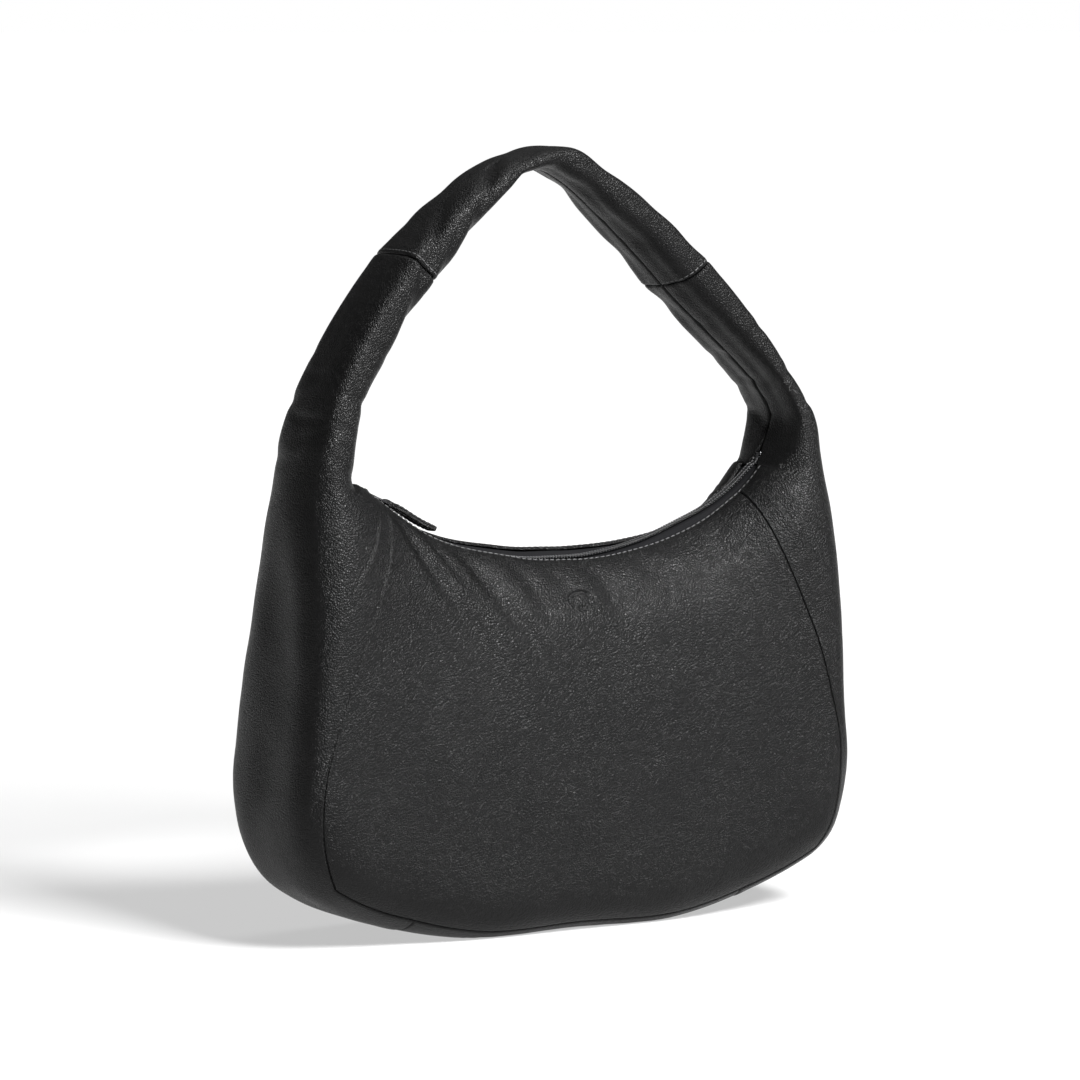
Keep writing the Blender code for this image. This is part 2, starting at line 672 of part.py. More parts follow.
def main():
    clear_scene()
    mats = {
        "leather": material("leather", (0.016, 0.016, 0.017), 0.42),
        "lining": material("lining", (0.05, 0.045, 0.042), 0.85),
        "board": material("board", (0.18, 0.16, 0.13), 0.8),
        "webbing": material("webbing", (0.05, 0.05, 0.05), 0.8),
        "tape": material("tape", (0.012, 0.012, 0.013), 0.8),
        "coil": material("coil", (0.02, 0.02, 0.02), 0.35),
        "metal": material("metal", (0.03, 0.03, 0.032), 0.3, 0.9),
    }
    make_leather(mats)
    make_lining(mats)
    make_strap_core(mats)
    make_zip(mats)
    sled = empty("zip_arc_centre", (0.0, 0.0, MOUTH_CENTRE_Z))
    pin, along, _, _ = puller_frame()
    link_axis = empty("puller_axis", tuple(pin))
    tab_axis = empty("tab_axis", tuple(pin + along * LINK_LENGTH))
    make_slider(mats, sled)
    make_puller(mats, link_axis, tab_axis)


main()
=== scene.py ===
"""The looks of the hobo bag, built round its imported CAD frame.

The leather is one soft surface.  It is a loop of cross-sections that runs along the base, up each end and
over the shoulder as a tube.  A place on it is (s, w): s is the length along the loop from the middle of
the base, negative to the left; w is 0 on the outer ridge and -1 or +1 on the mouth edge, or on the inner
ridge of the strap, at the front or the back.  Lengths are millimetres until a mesh is made.
"""
import bpy
import bmesh
import numpy as np
from math import cos, pi, radians, sin, sqrt
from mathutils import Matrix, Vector, noise


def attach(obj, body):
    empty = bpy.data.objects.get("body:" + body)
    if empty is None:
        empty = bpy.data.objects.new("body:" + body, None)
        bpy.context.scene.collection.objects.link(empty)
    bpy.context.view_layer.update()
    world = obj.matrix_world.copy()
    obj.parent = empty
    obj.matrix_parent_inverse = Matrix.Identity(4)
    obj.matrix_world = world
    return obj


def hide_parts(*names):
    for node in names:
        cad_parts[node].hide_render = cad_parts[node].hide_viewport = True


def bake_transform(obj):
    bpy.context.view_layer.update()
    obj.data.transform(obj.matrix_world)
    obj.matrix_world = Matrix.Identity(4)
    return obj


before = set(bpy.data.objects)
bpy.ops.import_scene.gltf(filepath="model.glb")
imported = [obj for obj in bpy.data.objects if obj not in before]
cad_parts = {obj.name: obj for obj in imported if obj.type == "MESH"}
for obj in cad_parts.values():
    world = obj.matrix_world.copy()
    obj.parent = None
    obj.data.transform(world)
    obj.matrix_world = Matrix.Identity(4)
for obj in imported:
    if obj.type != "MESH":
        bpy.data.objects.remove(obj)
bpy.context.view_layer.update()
MM = 0.001

# ---------------------------------------------------------------- the bag's dimensions, as in the CAD (mm)
LEATHER = 1.6
MOUTH_RADIUS = 207.0
MOUTH_CENTRE_Z = 416.0
MOUTH_HALF_GAP = 9.0
# Body sections: outer ridge x, z; mouth x; half depth; depth of the outer rounding; its squareness
BODY = (
    (0.0, 0.0, 0.0, 53.0, 62.0, 4.4),
    (68.0, 0.0, 30.0, 53.0, 62.0, 4.4),
    (104.0, 6.5, 56.0, 53.0, 62.0, 4.0),
    (146.0, 20.5, 77.0, 52.5, 60.0, 3.5),
    (173.0, 41.0, 92.0, 52.0, 56.0, 3.1),
    (182.5, 66.0, 103.0, 51.5, 50.0, 2.9),
    (183.0, 97.0, 111.0, 51.0, 45.0, 2.8),
    (181.5, 130.0, 118.0, 49.5, 42.0, 2.7),
    (179.5, 163.0, 124.0, 47.0, 38.0, 2.6),
    (178.0, 197.0, 129.0, 43.0, 32.0, 2.5),
    (175.5, 230.0, 133.0, 38.0, 24.0, 2.4),
    (170.5, 262.0, 137.0, 34.0, 16.0, 2.3),
)
# Strap sections up to the crown: outer ridge x, z; inner ridge x, z
LEFT_STRAP = (
    (163.0, 288.0, 136.5, 283.0),
    (154.5, 311.0, 130.0, 305.0),
    (142.0, 334.0, 118.0, 325.0),
    (127.0, 357.0, 105.5, 344.0),
    (109.0, 380.0, 90.5, 364.0),
    (82.0, 405.5, 68.0, 388.0),
    (46.0, 431.0, 41.0, 419.0),
    (22.0, 440.5, 27.0, 429.5),
)
RIGHT_STRAP = (
    (163.0, 288.0, 146.5, 284.0),
    (148.0, 310.0, 136.0, 303.5),
    (131.5, 331.0, 117.0, 322.5),
    (114.0, 351.0, 97.5, 340.0),
    (95.5, 371.0, 78.0, 357.5),
    (71.0, 394.0, 56.5, 379.0),
    (38.0, 421.0, 28.0, 405.0),
    (18.0, 436.5, 6.0, 423.0),
)
CROWN = (2.0, 443.5, -9.0, 430.5)
STRAP_HALF_WIDTH = (31.0, 28.0, 26.5, 25.4, 24.8, 24.2, 23.6, 23.0)
CROWN_HALF_WIDTH = 22.6
STRAP_ROUND = (11.0, 9.5, 9.0, 8.6, 8.6, 8.2, 7.6, 6.6)
CROWN_ROUND = 6.4
STRAP_SQUARE = 3.0
BODY_INNER_SQUARE = 2.0
SETTLE = 1.2
SETTLE_HEIGHT = 40.0
SEAM = ((0.165, 165.0), (0.27, 205.0), (0.43, 232.0), (0.62, 243.0), (0.82, 256.0), (1.0, 278.0))
GUSSET_RIDGE = ((0.165, 152.0), (0.27, 186.0), (0.43, 214.0), (0.62, 238.0), (0.82, 262.0), (1.0, 288.0))
BASE_W = 0.165
BASE_END = 110.0
GUSSET_END = 437.0
STRAP_SEAM = 548.0
MOUTH_CLOSES = (362.0, 424.0)
TAPE_DROP = 2.3
COIL_PITCH = 1.85
ZIP_REACH = (-142.0, 152.0)     # the coil's ends, along the mouth from its lowest point
STITCH_INSET = 2.8
STITCH_END = 392.0
LINING_END = 384.0
SLIDER_ANGLE = radians(-36.6)
PIN_DROP = -2.8                 # the puller's pin above the zip's arc
PULLER_SLOPE = radians(-27.0)
TAB_DRIFT = radians(-9.0)
LINK_LENGTH = 15.0
TAB_START = 3.4
TAB_CUT = 0.9                   # the tab's length as a share of the 38 mm its shape is drawn at
WEBBING_SHARE = 0.34            # the webbing's part of the strap's girth; it turns with the leather

# ---------------------------------------------------------------- how the leather has settled (mm)
LEAN = 6.0                      # the base stands this far to the left of its place under the mouth
LEAN_HEIGHTS = (60.0, 230.0)
TWIST = radians(8.0)            # the right side of the strap turns its inner face to the front
# How far the mouth's edges and its zip stand above the mouth's arc, against x
FRONT_EDGE = ((-140, 2.0), (-110, 1.2), (-85, -0.8), (-54, 0.6), (3, 0.2), (32, -1.4), (60, -2.9), (87, -4.6),
              (107, -4.6), (120, -3.6), (134, 0.0), (150, 0.0))
BACK_EDGE = ((-140, 0.0), (-90, 2.5), (-57, 4.2), (-20, 5.4), (15, 4.6), (52, -0.2), (80, -4.0), (104, -7.0),
             (122, -5.0), (136, 0.0), (150, 0.0))
ZIP_LINE = ((-140, 0.0), (-60, 0.5), (3, 1.0), (45, 0.0), (86, 0.0), (100, -1.2), (120, -1.5), (136, 0.0),
            (150, 0.0))
GUSSET_HOLLOW = 3.5             # the gussets have sunk inward between their seams
# Soft folds that fall from the mouth: x at the mouth, drift of x per mm of fall, depth, half width, fall
FRONT_FOLDS = (
    (-116.0, 0.74, 2.7, 8.0, 66.0),
    (-96.0, 0.66, 1.3, 5.5, 44.0),
    (-72.0, 0.58, 3.3, 9.0, 74.0),
    (-44.0, 0.42, 1.5, 6.5, 50.0),
    (-18.0, 0.30, 1.2, 7.0, 44.0),
    (8.0, 0.46, 2.6, 9.0, 62.0),
    (44.0, 0.26, 1.5, 7.5, 48.0),
    (76.0, 0.06, 1.7, 8.5, 52.0),
    (104.0, -0.24, 1.3, 7.0, 40.0),
)
BACK_FOLDS = (
    (-96.0, 0.20, 1.8, 8.0, 46.0),
    (-62.0, -0.04, 2.2, 9.0, 60.0),
    (-22.0, 0.08, 1.6, 7.5, 44.0),
    (14.0, -0.06, 2.4, 9.0, 62.0),
    (52.0, 0.10, 1.8, 8.0, 48.0),
    (92.0, -0.22, 1.9, 8.0, 50.0),
)
# Cross wrinkles where the gusset gathers into the strap: loop position, half width, depth, slant
STRAP_WRINKLES = (
    (418.0, 5.0, 0.9, 10.0),
    (432.0, 3.6, 1.1, -8.0),
    (444.0, 3.2, 0.9, 12.0),
    (455.0, 4.0, 1.1, -4.0),
    (469.0, 3.4, 0.8, 9.0),
    (486.0, 4.4, 0.7, -10.0),
    (510.0, 4.0, 0.35, 6.0),
    (572.0, 4.6, 0.25, -8.0),
    (610.0, 5.0, 0.3, 10.0),
)
EMBLEM = (0.0, 188.0, 8.2, 4.8, 2.0)    # pressed oval on the front: x, z, half width, half height, depth

# ---------------------------------------------------------------- the surface


def smoothstep(low, high, value):
    """0 below low, 1 above high, smooth between; takes numbers or arrays."""
    t = np.clip((value - low) / (high - low), 0.0, 1.0)
    return t * t * (3.0 - 2.0 * t)


def hermite(xs, ys, slopes, x):
    """Smooth interpolation through rows ys at xs, for an array x."""
    i = np.clip(np.searchsorted(xs, x, side="right") - 1, 0, len(xs) - 2)
    h = xs[i + 1] - xs[i]
    t = (x - xs[i]) / h
    if ys.ndim > 1:
        h, t = h[:, None], t[:, None]
    return (
        (2 * t ** 3 - 3 * t ** 2 + 1) * ys[i]
        + (t ** 3 - 2 * t ** 2 + t) * h * slopes[i]
        + (3 * t ** 2 - 2 * t ** 3) * ys[i + 1]
        + (t ** 3 - t ** 2) * h * slopes[i + 1]
    )


def along_table(table, q):
    """Loop positions read off a short table against w."""
    qs, positions = (np.array(column) for column in zip(*table))
    return hermite(qs, positions, np.gradient(positions, qs), np.asarray(q, float))


def mouth_point(x):
    """Height of the mouth's arc at x."""
    return MOUTH_CENTRE_Z - sqrt(MOUTH_RADIUS ** 2 - x ** 2)


def loop_table():
    """Rows round the whole loop from the crown, down the left side, along the base and up the right."""
    body = [(x, z, mx, mouth_point(mx), a, r, n, BODY_INNER_SQUARE) for x, z, mx, a, r, n in BODY]
    sides = []
    for strap in (LEFT_STRAP, RIGHT_STRAP):
        tube = [
            (*row, STRAP_HALF_WIDTH[i], STRAP_ROUND[i], STRAP_SQUARE, STRAP_SQUARE)
            for i, row in enumerate(strap)
        ]
        sides.append(body + tube)
    mirror = np.array([-1, 1, -1, 1, 1, 1, 1, 1])
    left = np.array(sides[0])[:0:-1] * mirror
    right = np.array(sides[1])
    crown = np.array([(*CROWN, CROWN_HALF_WIDTH, CROWN_ROUND, STRAP_SQUARE, STRAP_SQUARE)])
    rows = np.concatenate([crown, left, right, crown])
    steps = np.hypot(np.diff(rows[:, 0]), np.diff(rows[:, 1]))
    position = np.concatenate([[0.0], np.cumsum(steps)])
    return rows, position - position[len(left) + 1]


class Skin:
    """The leather's outer surface, tabulated along the loop."""

    STEP = 2.0
    COLUMNS = 201

    def __init__(self):
        self.rows, self.position = loop_table()
        rows, p = self.rows, self.position
        self.slope = np.gradient(rows, p, axis=0)
        rise = rows[1] - rows[0] + rows[-1] - rows[-2]
        self.slope[0] = self.slope[-1] = rise / (p[1] - p[0] + p[-1] - p[-2])
        self.start, self.end = p[0], p[-1]
        self.grid = np.linspace(self.start, self.end, int((self.end - self.start) / self.STEP) + 2)
        tables = [self.profile(s) for s in self.grid]
        self.inward = np.array([t[0] for t in tables])
        self.depth = np.array([t[1] for t in tables])
        self.length = np.array([t[2] for t in tables])

    def section(self, s):
        return hermite(self.position, self.rows, self.slope, np.asarray(s, float))

    def profile(self, s):
        """One section: distances inward and half depths at even steps of w, and its length."""
        ox, oz, mx, mz, half, rounding, n_out, n_in = self.section(np.array([s]))[0]
        span = sqrt((mx - ox) ** 2 + (mz - oz) ** 2)
        gap = MOUTH_HALF_GAP * (1.0 - smoothstep(*MOUTH_CLOSES, abs(s)))
        f = np.linspace(0.0, pi / 2, 150)
        c_out, s_out = np.cos(f) ** (2 / n_out), np.sin(f) ** (2 / n_out)
        c_in, s_in = np.cos(f) ** (2 / n_in), np.sin(f) ** (2 / n_in)
        inward = np.concatenate([rounding * (1 - c_out), (rounding + (span - rounding) * c_in)[-2::-1]])
        depth = np.concatenate([half * s_out, (gap + (half - gap) * s_in)[-2::-1]])
        arc = np.concatenate([[0.0], np.cumsum(np.hypot(np.diff(inward), np.diff(depth)))])
        q = np.linspace(0.0, arc[-1], self.COLUMNS)
        return np.interp(q, arc, inward), np.interp(q, arc, depth), arc[-1]

    def half_length(self, s):
        """Length of half a section, from the outer ridge to the mouth."""
        return np.interp(s, self.grid, self.length)

    def place(self, s, w):
        """Points (N, 3) of the smooth surface at arrays of s and w, with the lean and the twist."""
        s, w = np.clip(s, self.start, self.end), np.clip(w, -1.0, 1.0)
        row = self.section(s)
        outer = np.stack([row[:, 0], np.zeros(len(s)), row[:, 1]], 1)
        axis = np.stack([row[:, 2] - row[:, 0], np.zeros(len(s)), row[:, 3] - row[:, 1]], 1)
        axis /= np.linalg.norm(axis, axis=1)[:, None]
        a = (s - self.start) / (self.grid[1] - self.grid[0])
        i = np.clip(a.astype(int), 0, len(self.grid) - 2)
        b = np.abs(w) * (self.COLUMNS - 1)
        j = np.clip(b.astype(int), 0, self.COLUMNS - 2)
        fa, fb = a - i, b - j

        def read(table):
            low = table[i, j] * (1 - fb) + table[i, j + 1] * fb
            high = table[i + 1, j] * (1 - fb) + table[i + 1, j + 1] * fb
            return low * (1 - fa) + high * fa

        points = outer + axis * read(self.inward)[:, None]
        points[:, 1] = np.where(w < 0, -1.0, 1.0) * read(self.depth)
        x, y, z = points.T
        points[:, 2] = np.maximum(z - SETTLE * np.maximum(1.0 - z / SETTLE_HEIGHT, 0.0), 0.0)
        turned = sin(TWIST) * smoothstep(10.0, 60.0, x) * smoothstep(285.0, 340.0, z)
        points[:, 0] = x - y * turned * 0.72 - LEAN * (1.0 - smoothstep(*LEAN_HEIGHTS, z))
        points[:, 2] -= y * turned * 0.69
        return points


skin = Skin()


def rough(points, size, seed):
    """Smooth random values from -1 to 1 at points, with features of about the given size in mm."""
    shift = Vector((seed * 17.3, seed * 5.1, seed * 9.7))
    return np.array([noise.noise(Vector(p) / size + shift) for p in points])


def relief(s, w, points):
    """How far the settled leather stands out from the smooth surface, in mm."""
    x, _, z = points.T
    below = (1.0 - np.abs(w)) * skin.half_length(s)
    body = 1.0 - smoothstep(262.0, 300.0, z)
    out = 1.3 * rough(points, 62.0, 1) * body + 0.55 * rough(points, 24.0, 2) * body
    for folds, facing in ((FRONT_FOLDS, w < 0), (BACK_FOLDS, w > 0)):
        for at, drift, depth, half, fall in folds:
            middle = at + drift * below + 3.0 * np.sin(below / 17.0 + at)
            reach = smoothstep(3.0, 20.0, below) * (1.0 - smoothstep(0.35 * fall, 1.25 * fall, below))
            valley = np.exp(-((x - middle) / half) ** 2) - 0.45 * np.exp(-((x - middle) / (2.4 * half)) ** 2)
            out -= np.where(facing, depth * valley * reach, 0.0)
    out += 1.6 * np.exp(-((below - 44.0) / 22.0) ** 2) * (np.abs(s) < 300) * body
    ridge = np.exp(-(w / 0.17) ** 2) * smoothstep(150.0, 200.0, np.abs(s))
    out -= GUSSET_HOLLOW * ridge * (1.0 - smoothstep(330.0, 400.0, np.abs(s)))
    for at, half, depth, slant in STRAP_WRINKLES:
        for side, nudge in ((-1, 0.0), (1, 5.0)):
            bend = slant * w + 4.0 * np.sin(5.0 * w + at)
            off = (side * s - at - nudge - bend) / half
            out -= depth * np.exp(-off ** 2) * (0.45 + 0.55 * np.sin(6.0 * w + 2.0 * at))
    strap = smoothstep(400.0, 470.0, np.abs(s))
    calm = 1.0 - 0.6 * smoothstep(520.0, 580.0, np.abs(s))
    out += strap * calm * 0.3 * rough(points * np.array([0.5, 1.6, 0.5]), 16.0, 3)
    out -= strap * 0.7 * np.exp(-((np.abs(w) - 0.80) / 0.06) ** 2)
    low = smoothstep(10.0, 34.0, z) * (1.0 - smoothstep(60.0, 150.0, z))
    corner = np.where(x > 0, 3.0 + 2.5 * np.exp(-((z - 32.0) / 22.0) ** 2), 2.0)
    out += low * corner * smoothstep(120.0, 170.0, np.abs(x))
    ex, ez, wide, high, depth = EMBLEM
    oval = np.hypot((x - ex) / wide, (z - ez) / high)
    press = (1.0 - smoothstep(0.88, 1.02, oval)) * (0.5 + 0.5 * np.minimum(oval / 0.88, 1.0) ** 4)
    out -= np.where((w < 0) & (np.abs(s) < 300), depth * press, 0.0)
    settled = smoothstep(2.0, 26.0, z)
    return out * np.maximum(settled, 0.0)


def stands(table, x):
    """Height above the mouth's arc at x, read off a table."""
    return along_table(table, np.clip(x, table[0][0], table[-1][0]))


def outward(s, w):
    """Unit normals of the smooth surface."""
    ds, dw = 1.5, 0.01
    across = skin.place(s, w + dw) - skin.place(s, w - dw)
    along = skin.place(s + ds, w) - skin.place(s - ds, w)
    normal = np.cross(across, along)
    return normal / np.linalg.norm(normal, axis=1)[:, None]


def worn(s, w):
    """Points of the settled leather."""
    points = skin.place(s, w)
    points = points + outward(s, w) * relief(s, w, points)[:, None]
    edge = smoothstep(0.78, 1.0, np.abs(w)) * (1.0 - smoothstep(330.0, 400.0, np.abs(s)))
    x = points[:, 0]
    points[:, 2] += np.where(w < 0, stands(FRONT_EDGE, x), stands(BACK_EDGE, x)) * edge
    points[:, 2] = np.maximum(points[:, 2], 0.0)
    return points


# ---------------------------------------------------------------- meshes


def mesh_object(name, points, faces, mat):
    """A smooth object in metres from points in millimetres, its faces turned outward."""
    mesh = bpy.data.meshes.new(name)
    mesh.from_pydata((np.asarray(points) * MM).tolist(), [], faces)
    work = bmesh.new()
    work.from_mesh(mesh)
    bmesh.ops.recalc_face_normals(work, faces=work.faces)
    work.to_mesh(mesh)
    work.free()
    mesh.shade_smooth()
    mesh.materials.append(mat)
    obj = bpy.data.objects.new(name, mesh)
    bpy.context.collection.objects.link(obj)
    return obj


def spaced(count, length, edge=(0.0, 0.25, 0.7, 1.3, 2.2)):
    """Fractions from 0 to 1 with extra steps close to both ends of a line of the given length in mm."""
    near = np.array(edge) / length
    inner = np.linspace(3.4 / length, 1.0 - 3.4 / length, count)
    return np.concatenate([near, inner, 1.0 - near[::-1]])


def border_distance(grid):
    """Distance in mm of each point of a grid from the nearest border, measured along the grid."""
    best = np.full(grid.shape[:2], 1e9)
    for axis in (0, 1):
        step = np.linalg.norm(np.diff(grid, axis=axis), axis=2)
        total = np.cumsum(step, axis=axis)
        pad = [(0, 0), (0, 0)]
        pad[axis] = (1, 0)
        total = np.pad(total, pad)
        best = np.minimum(best, total)
        best = np.minimum(best, total.max(axis=axis, keepdims=True) - total)
    return best


def grid_normals(grid):
    """Unit normals of a grid of points."""
    n = np.cross(np.gradient(grid, axis=1), np.gradient(grid, axis=0))
    return n / np.maximum(np.linalg.norm(n, axis=2), 1e-9)[:, :, None]


def sheet(name, s, w, mat, depth=0.0, thickness=LEATHER, rounding=1.6, proud=0.0):
    """A sewn piece over a grid of places, its borders turned down into the seams."""
    shape = s.shape
    base = worn(s.ravel(), w.ravel()).reshape(*shape, 3)
    normal = grid_normals(base)
    row, col = shape[0] // 2, shape[1] // 3
    normal *= np.sign(normal[row, col] @ outward(s[row, col:col + 1], w[row, col:col + 1])[0])
    d = border_distance(base)
    inside = np.maximum(rounding - d, 0.0)
    fall = rounding - np.sqrt(np.maximum(rounding ** 2 - inside ** 2, 0.0))
    swell = proud * (1.0 - smoothstep(2.5, 11.0, d))
    outer = base - normal * (depth + fall - swell)[:, :, None]
    under = np.minimum(depth + thickness, depth + np.maximum(fall + 0.5, thickness))
    inner = base - normal * under[:, :, None]
    outer[:, :, 2] = np.maximum(outer[:, :, 2], depth)
    inner[:, :, 2] = np.maximum(inner[:, :, 2], depth + 0.6 * thickness)
    rows, cols = shape
    points = np.concatenate([outer.reshape(-1, 3), inner.reshape(-1, 3)])
    return closed_grid(name, points, rows, cols, mat)


def closed_grid(name, points, rows, cols, mat):
    """An object from two equal grids of points, one below the other, joined round their rims."""
    half = rows * cols
    i, j = np.meshgrid(np.arange(rows - 1), np.arange(cols - 1), indexing="ij")
    a = (i * cols + j).ravel()
    top = np.stack([a, a + cols, a + cols + 1, a + 1], 1)
    bottom = top[:, ::-1] + half
    rim = list(range(cols)) + [r * cols + cols - 1 for r in range(1, rows)]
    rim += [(rows - 1) * cols + c for c in range(cols - 2, -1, -1)]
    rim += [r * cols for r in range(rows - 2, 0, -1)]
    rim = np.array(rim)
    after = np.roll(rim, -1)
    side = np.stack([rim, after, after + half, rim + half], 1)
    faces = np.concatenate([top, bottom, side]).tolist()
    return mesh_object(name, points, faces, mat)


def capsule_chain(name, starts, ends, radius, mat, sides=8, rings=((0.0, 0.35), (0.1, 0.8), (0.5, 1.0),
                                                                  (0.9, 0.8), (1.0, 0.35))):
    """Many short rounded rods in one mesh."""
    starts, ends = np.asarray(starts), np.asarray(ends)
    direction = ends - starts
    direction /= np.linalg.norm(direction, axis=1)[:, None]
    helper = np.where(np.abs(direction[:, 1:2]) > 0.8, [[1.0, 0.0, 0.0]], [[0.0, 1.0, 0.0]])
    u = np.cross(direction, helper)
    u /= np.linalg.norm(u, axis=1)[:, None]
    v = np.cross(direction, u)
    turn = np.arange(sides) * 2 * pi / sides
    layers = []
    for along, size in rings:
        centre = starts + (ends - starts) * along
        circle = u[:, None, :] * np.cos(turn)[None, :, None] + v[:, None, :] * np.sin(turn)[None, :, None]
        layers.append(centre[:, None, :] + circle * radius * size)
    points = np.stack(layers, 1)
    count = len(rings)
    faces = []
    for n in range(len(starts)):
        base = n * count * sides
        faces.append(tuple(base + k for k in range(sides)))
        faces.append(tuple(base + (count - 1) * sides + k for k in range(sides)))
        for r in range(count - 1):
            for k in range(sides):
                a, b = base + r * sides + k, base + r * sides + (k + 1) % sides
                faces.append((a, b, b + sides, a + sides))
    return mesh_object(name, points.reshape(-1, 3), faces, mat)


def resample(path, pitch):
    """Points every pitch along a path."""
    path = np.asarray(path)
    length = np.concatenate([[0.0], np.cumsum(np.linalg.norm(np.diff(path, axis=0), axis=1))])
    at = np.arange(pitch / 2, length[-1], pitch)
    return np.stack([np.interp(at, length, path[:, k]) for k in range(3)], 1)


def stitches(name, path, mat, pitch=3.7, length=2.75, radius=0.38):
    """A row of thread stitches along a path."""
    fine = resample(path, pitch / 2)
    count = (len(fine) - 1) // 2
    a, b = fine[0:2 * count:2], fine[1:2 * count + 1:2]
    middle, step = (a + b) / 2, b - a
    step /= np.linalg.norm(step, axis=1)[:, None]
    return capsule_chain(name, middle - step * length / 2, middle + step * length / 2, radius, mat)


# ---------------------------------------------------------------- materials


class Nodes:
    """Small helper to build a node tree."""

    def __init__(self, name):
        self.mat = bpy.data.materials.new(name)
        self.mat.use_nodes = True
        self.tree = self.mat.node_tree
        self.shader = self.tree.nodes["Principled BSDF"]
        self.coords = self.add("ShaderNodeTexCoord").outputs["Object"]

    def add(self, kind, **settings):
        node = self.tree.nodes.new(kind)
        for key, value in settings.items():
            setattr(node, key, value)
        return node

    def link(self, source, target):
        self.tree.links.new(source, target)

    def noise(self, scale, detail=3.0, roughness=0.5, coords=None):
        node = self.add("ShaderNodeTexNoise")
        node.inputs["Scale"].default_value = scale
        node.inputs["Detail"].default_value = detail
        node.inputs["Roughness"].default_value = roughness
        self.link(coords or self.coords, node.inputs["Vector"])
        return node.outputs["Fac"]

    def voronoi(self, scale, feature="F1", smoothness=0.35, coords=None):
        node = self.add("ShaderNodeTexVoronoi", feature=feature)
        node.inputs["Scale"].default_value = scale
        if feature == "SMOOTH_F1":
            node.inputs["Smoothness"].default_value = smoothness
        self.link(coords or self.coords, node.inputs["Vector"])
        return node.outputs["Distance"]

    def ramp(self, value, low, high, out_low=0.0, out_high=1.0):
        node = self.add("ShaderNodeMapRange")
        for key, number in (("From Min", low), ("From Max", high), ("To Min", out_low), ("To Max", out_high)):
            node.inputs[key].default_value = number
        self.link(value, node.inputs["Value"])
        return node.outputs["Result"]

    def maths(self, operation, a, b):
        node = self.add("ShaderNodeMath", operation=operation)
        for k, value in enumerate((a, b)):
            if isinstance(value, (int, float)):
                node.inputs[k].default_value = value
            else:
                self.link(value, node.inputs[k])
        return node.outputs[0]

    def colours(self, factor, low, high):
        node = self.add("ShaderNodeMix", data_type="RGBA")
        node.inputs["A"].default_value = (*low, 1.0)
        node.inputs["B"].default_value = (*high, 1.0)
        self.link(factor, node.inputs["Factor"])
        return node.outputs["Result"]

    def bump(self, height, distance, strength=1.0, normal=None):
        node = self.add("ShaderNodeBump")
        node.inputs["Distance"].default_value = distance
        node.inputs["Strength"].default_value = strength
        self.link(height, node.inputs["Height"])
        if normal is not None:
            self.link(normal, node.inputs["Normal"])
        return node.outputs["Normal"]

    def put(self, **sockets):
        for key, value in sockets.items():
            socket = self.shader.inputs[key.replace("_", " ")]
            if isinstance(value, (int, float, tuple)):
                socket.default_value = value
            else:
                self.link(value, socket)
        return self.mat


def leather_material(name, dark=(0.0016, 0.0016, 0.0017), light=(0.0034, 0.0034, 0.0034), grain=1.0):
    """Black pebbled leather: domed grains, creases between them with painted shade darkening the colour in
    them, soft wear, and uneven gloss.
    """
    n = Nodes(name)
    warp = n.noise(120.0, 3.0, 0.6)
    bent = n.add("ShaderNodeVectorMath", operation="MULTIPLY_ADD")
    tint = n.add("ShaderNodeTexNoise")
    tint.inputs["Scale"].default_value = 260.0
    n.link(n.coords, tint.inputs["Vector"])
    n.link(tint.outputs["Color"], bent.inputs[0])
    bent.inputs[1].default_value = (0.0016, 0.0016, 0.0016)
    n.link(n.coords, bent.inputs[2])
    where = bent.outputs[0]
    pebble = n.voronoi(840.0, "SMOOTH_F1", 0.25, where)
    crack = n.voronoi(840.0, "DISTANCE_TO_EDGE", coords=where)
    fine = n.noise(2400.0, 2.0, 0.6)
    crease = n.noise(430.0, 3.0, 0.55)
    broad = n.noise(22.0, 3.0, 0.55)
    grooves = n.ramp(crack, 0.0, 0.18)
    domes = n.maths("MULTIPLY", n.ramp(pebble, 0.0, 0.75, 1.0, 0.0), n.ramp(warp, 0.3, 0.7, 0.5, 1.0))
    height = n.maths("ADD", n.maths("MULTIPLY", domes, 0.8), n.maths("MULTIPLY", grooves, 0.35))
    height = n.maths("ADD", height, n.maths("MULTIPLY", crease, 0.2))
    height = n.maths("ADD", height, n.maths("MULTIPLY", fine, 0.14))
    # Colour: a broad random tone, darkened to 0.45 in the grain's creases as painted shade.
    tone_and_groove_shade = n.maths("MULTIPLY", n.ramp(broad, 0.3, 0.72), n.ramp(grooves, 0.0, 1.0, 0.45, 1.0))
    gloss = n.maths("ADD", n.ramp(broad, 0.3, 0.7, 0.37, 0.30), n.ramp(grooves, 0.0, 1.0, 0.14, 0.0))
    normal = n.bump(height, 0.00034 * grain)
    return n.put(Base_Color=n.colours(tone_and_groove_shade, dark, light), Roughness=gloss, Normal=normal,
                 Specular_IOR_Level=0.16)


def thread_material(name, colour=(0.09, 0.09, 0.092), shine=0.5):
    """Waxed thread with a visible twist, its colour darker between the plies as painted shade."""
    n = Nodes(name)
    twist = n.add("ShaderNodeTexWave", wave_type="BANDS", bands_direction="DIAGONAL")
    twist.inputs["Scale"].default_value = 1500.0
    n.link(n.coords, twist.inputs["Vector"])
    strands = twist.outputs["Fac"]
    # Painted shade: the low bands between the plies take 0.45 of the thread's colour.
    dark = tuple(c * 0.45 for c in colour)
    return n.put(Base_Color=n.colours(strands, dark, colour), Roughness=n.ramp(strands, 0.0, 1.0, 0.6, 0.42),
                 Normal=n.bump(strands, 0.00008), Specular_IOR_Level=shine)


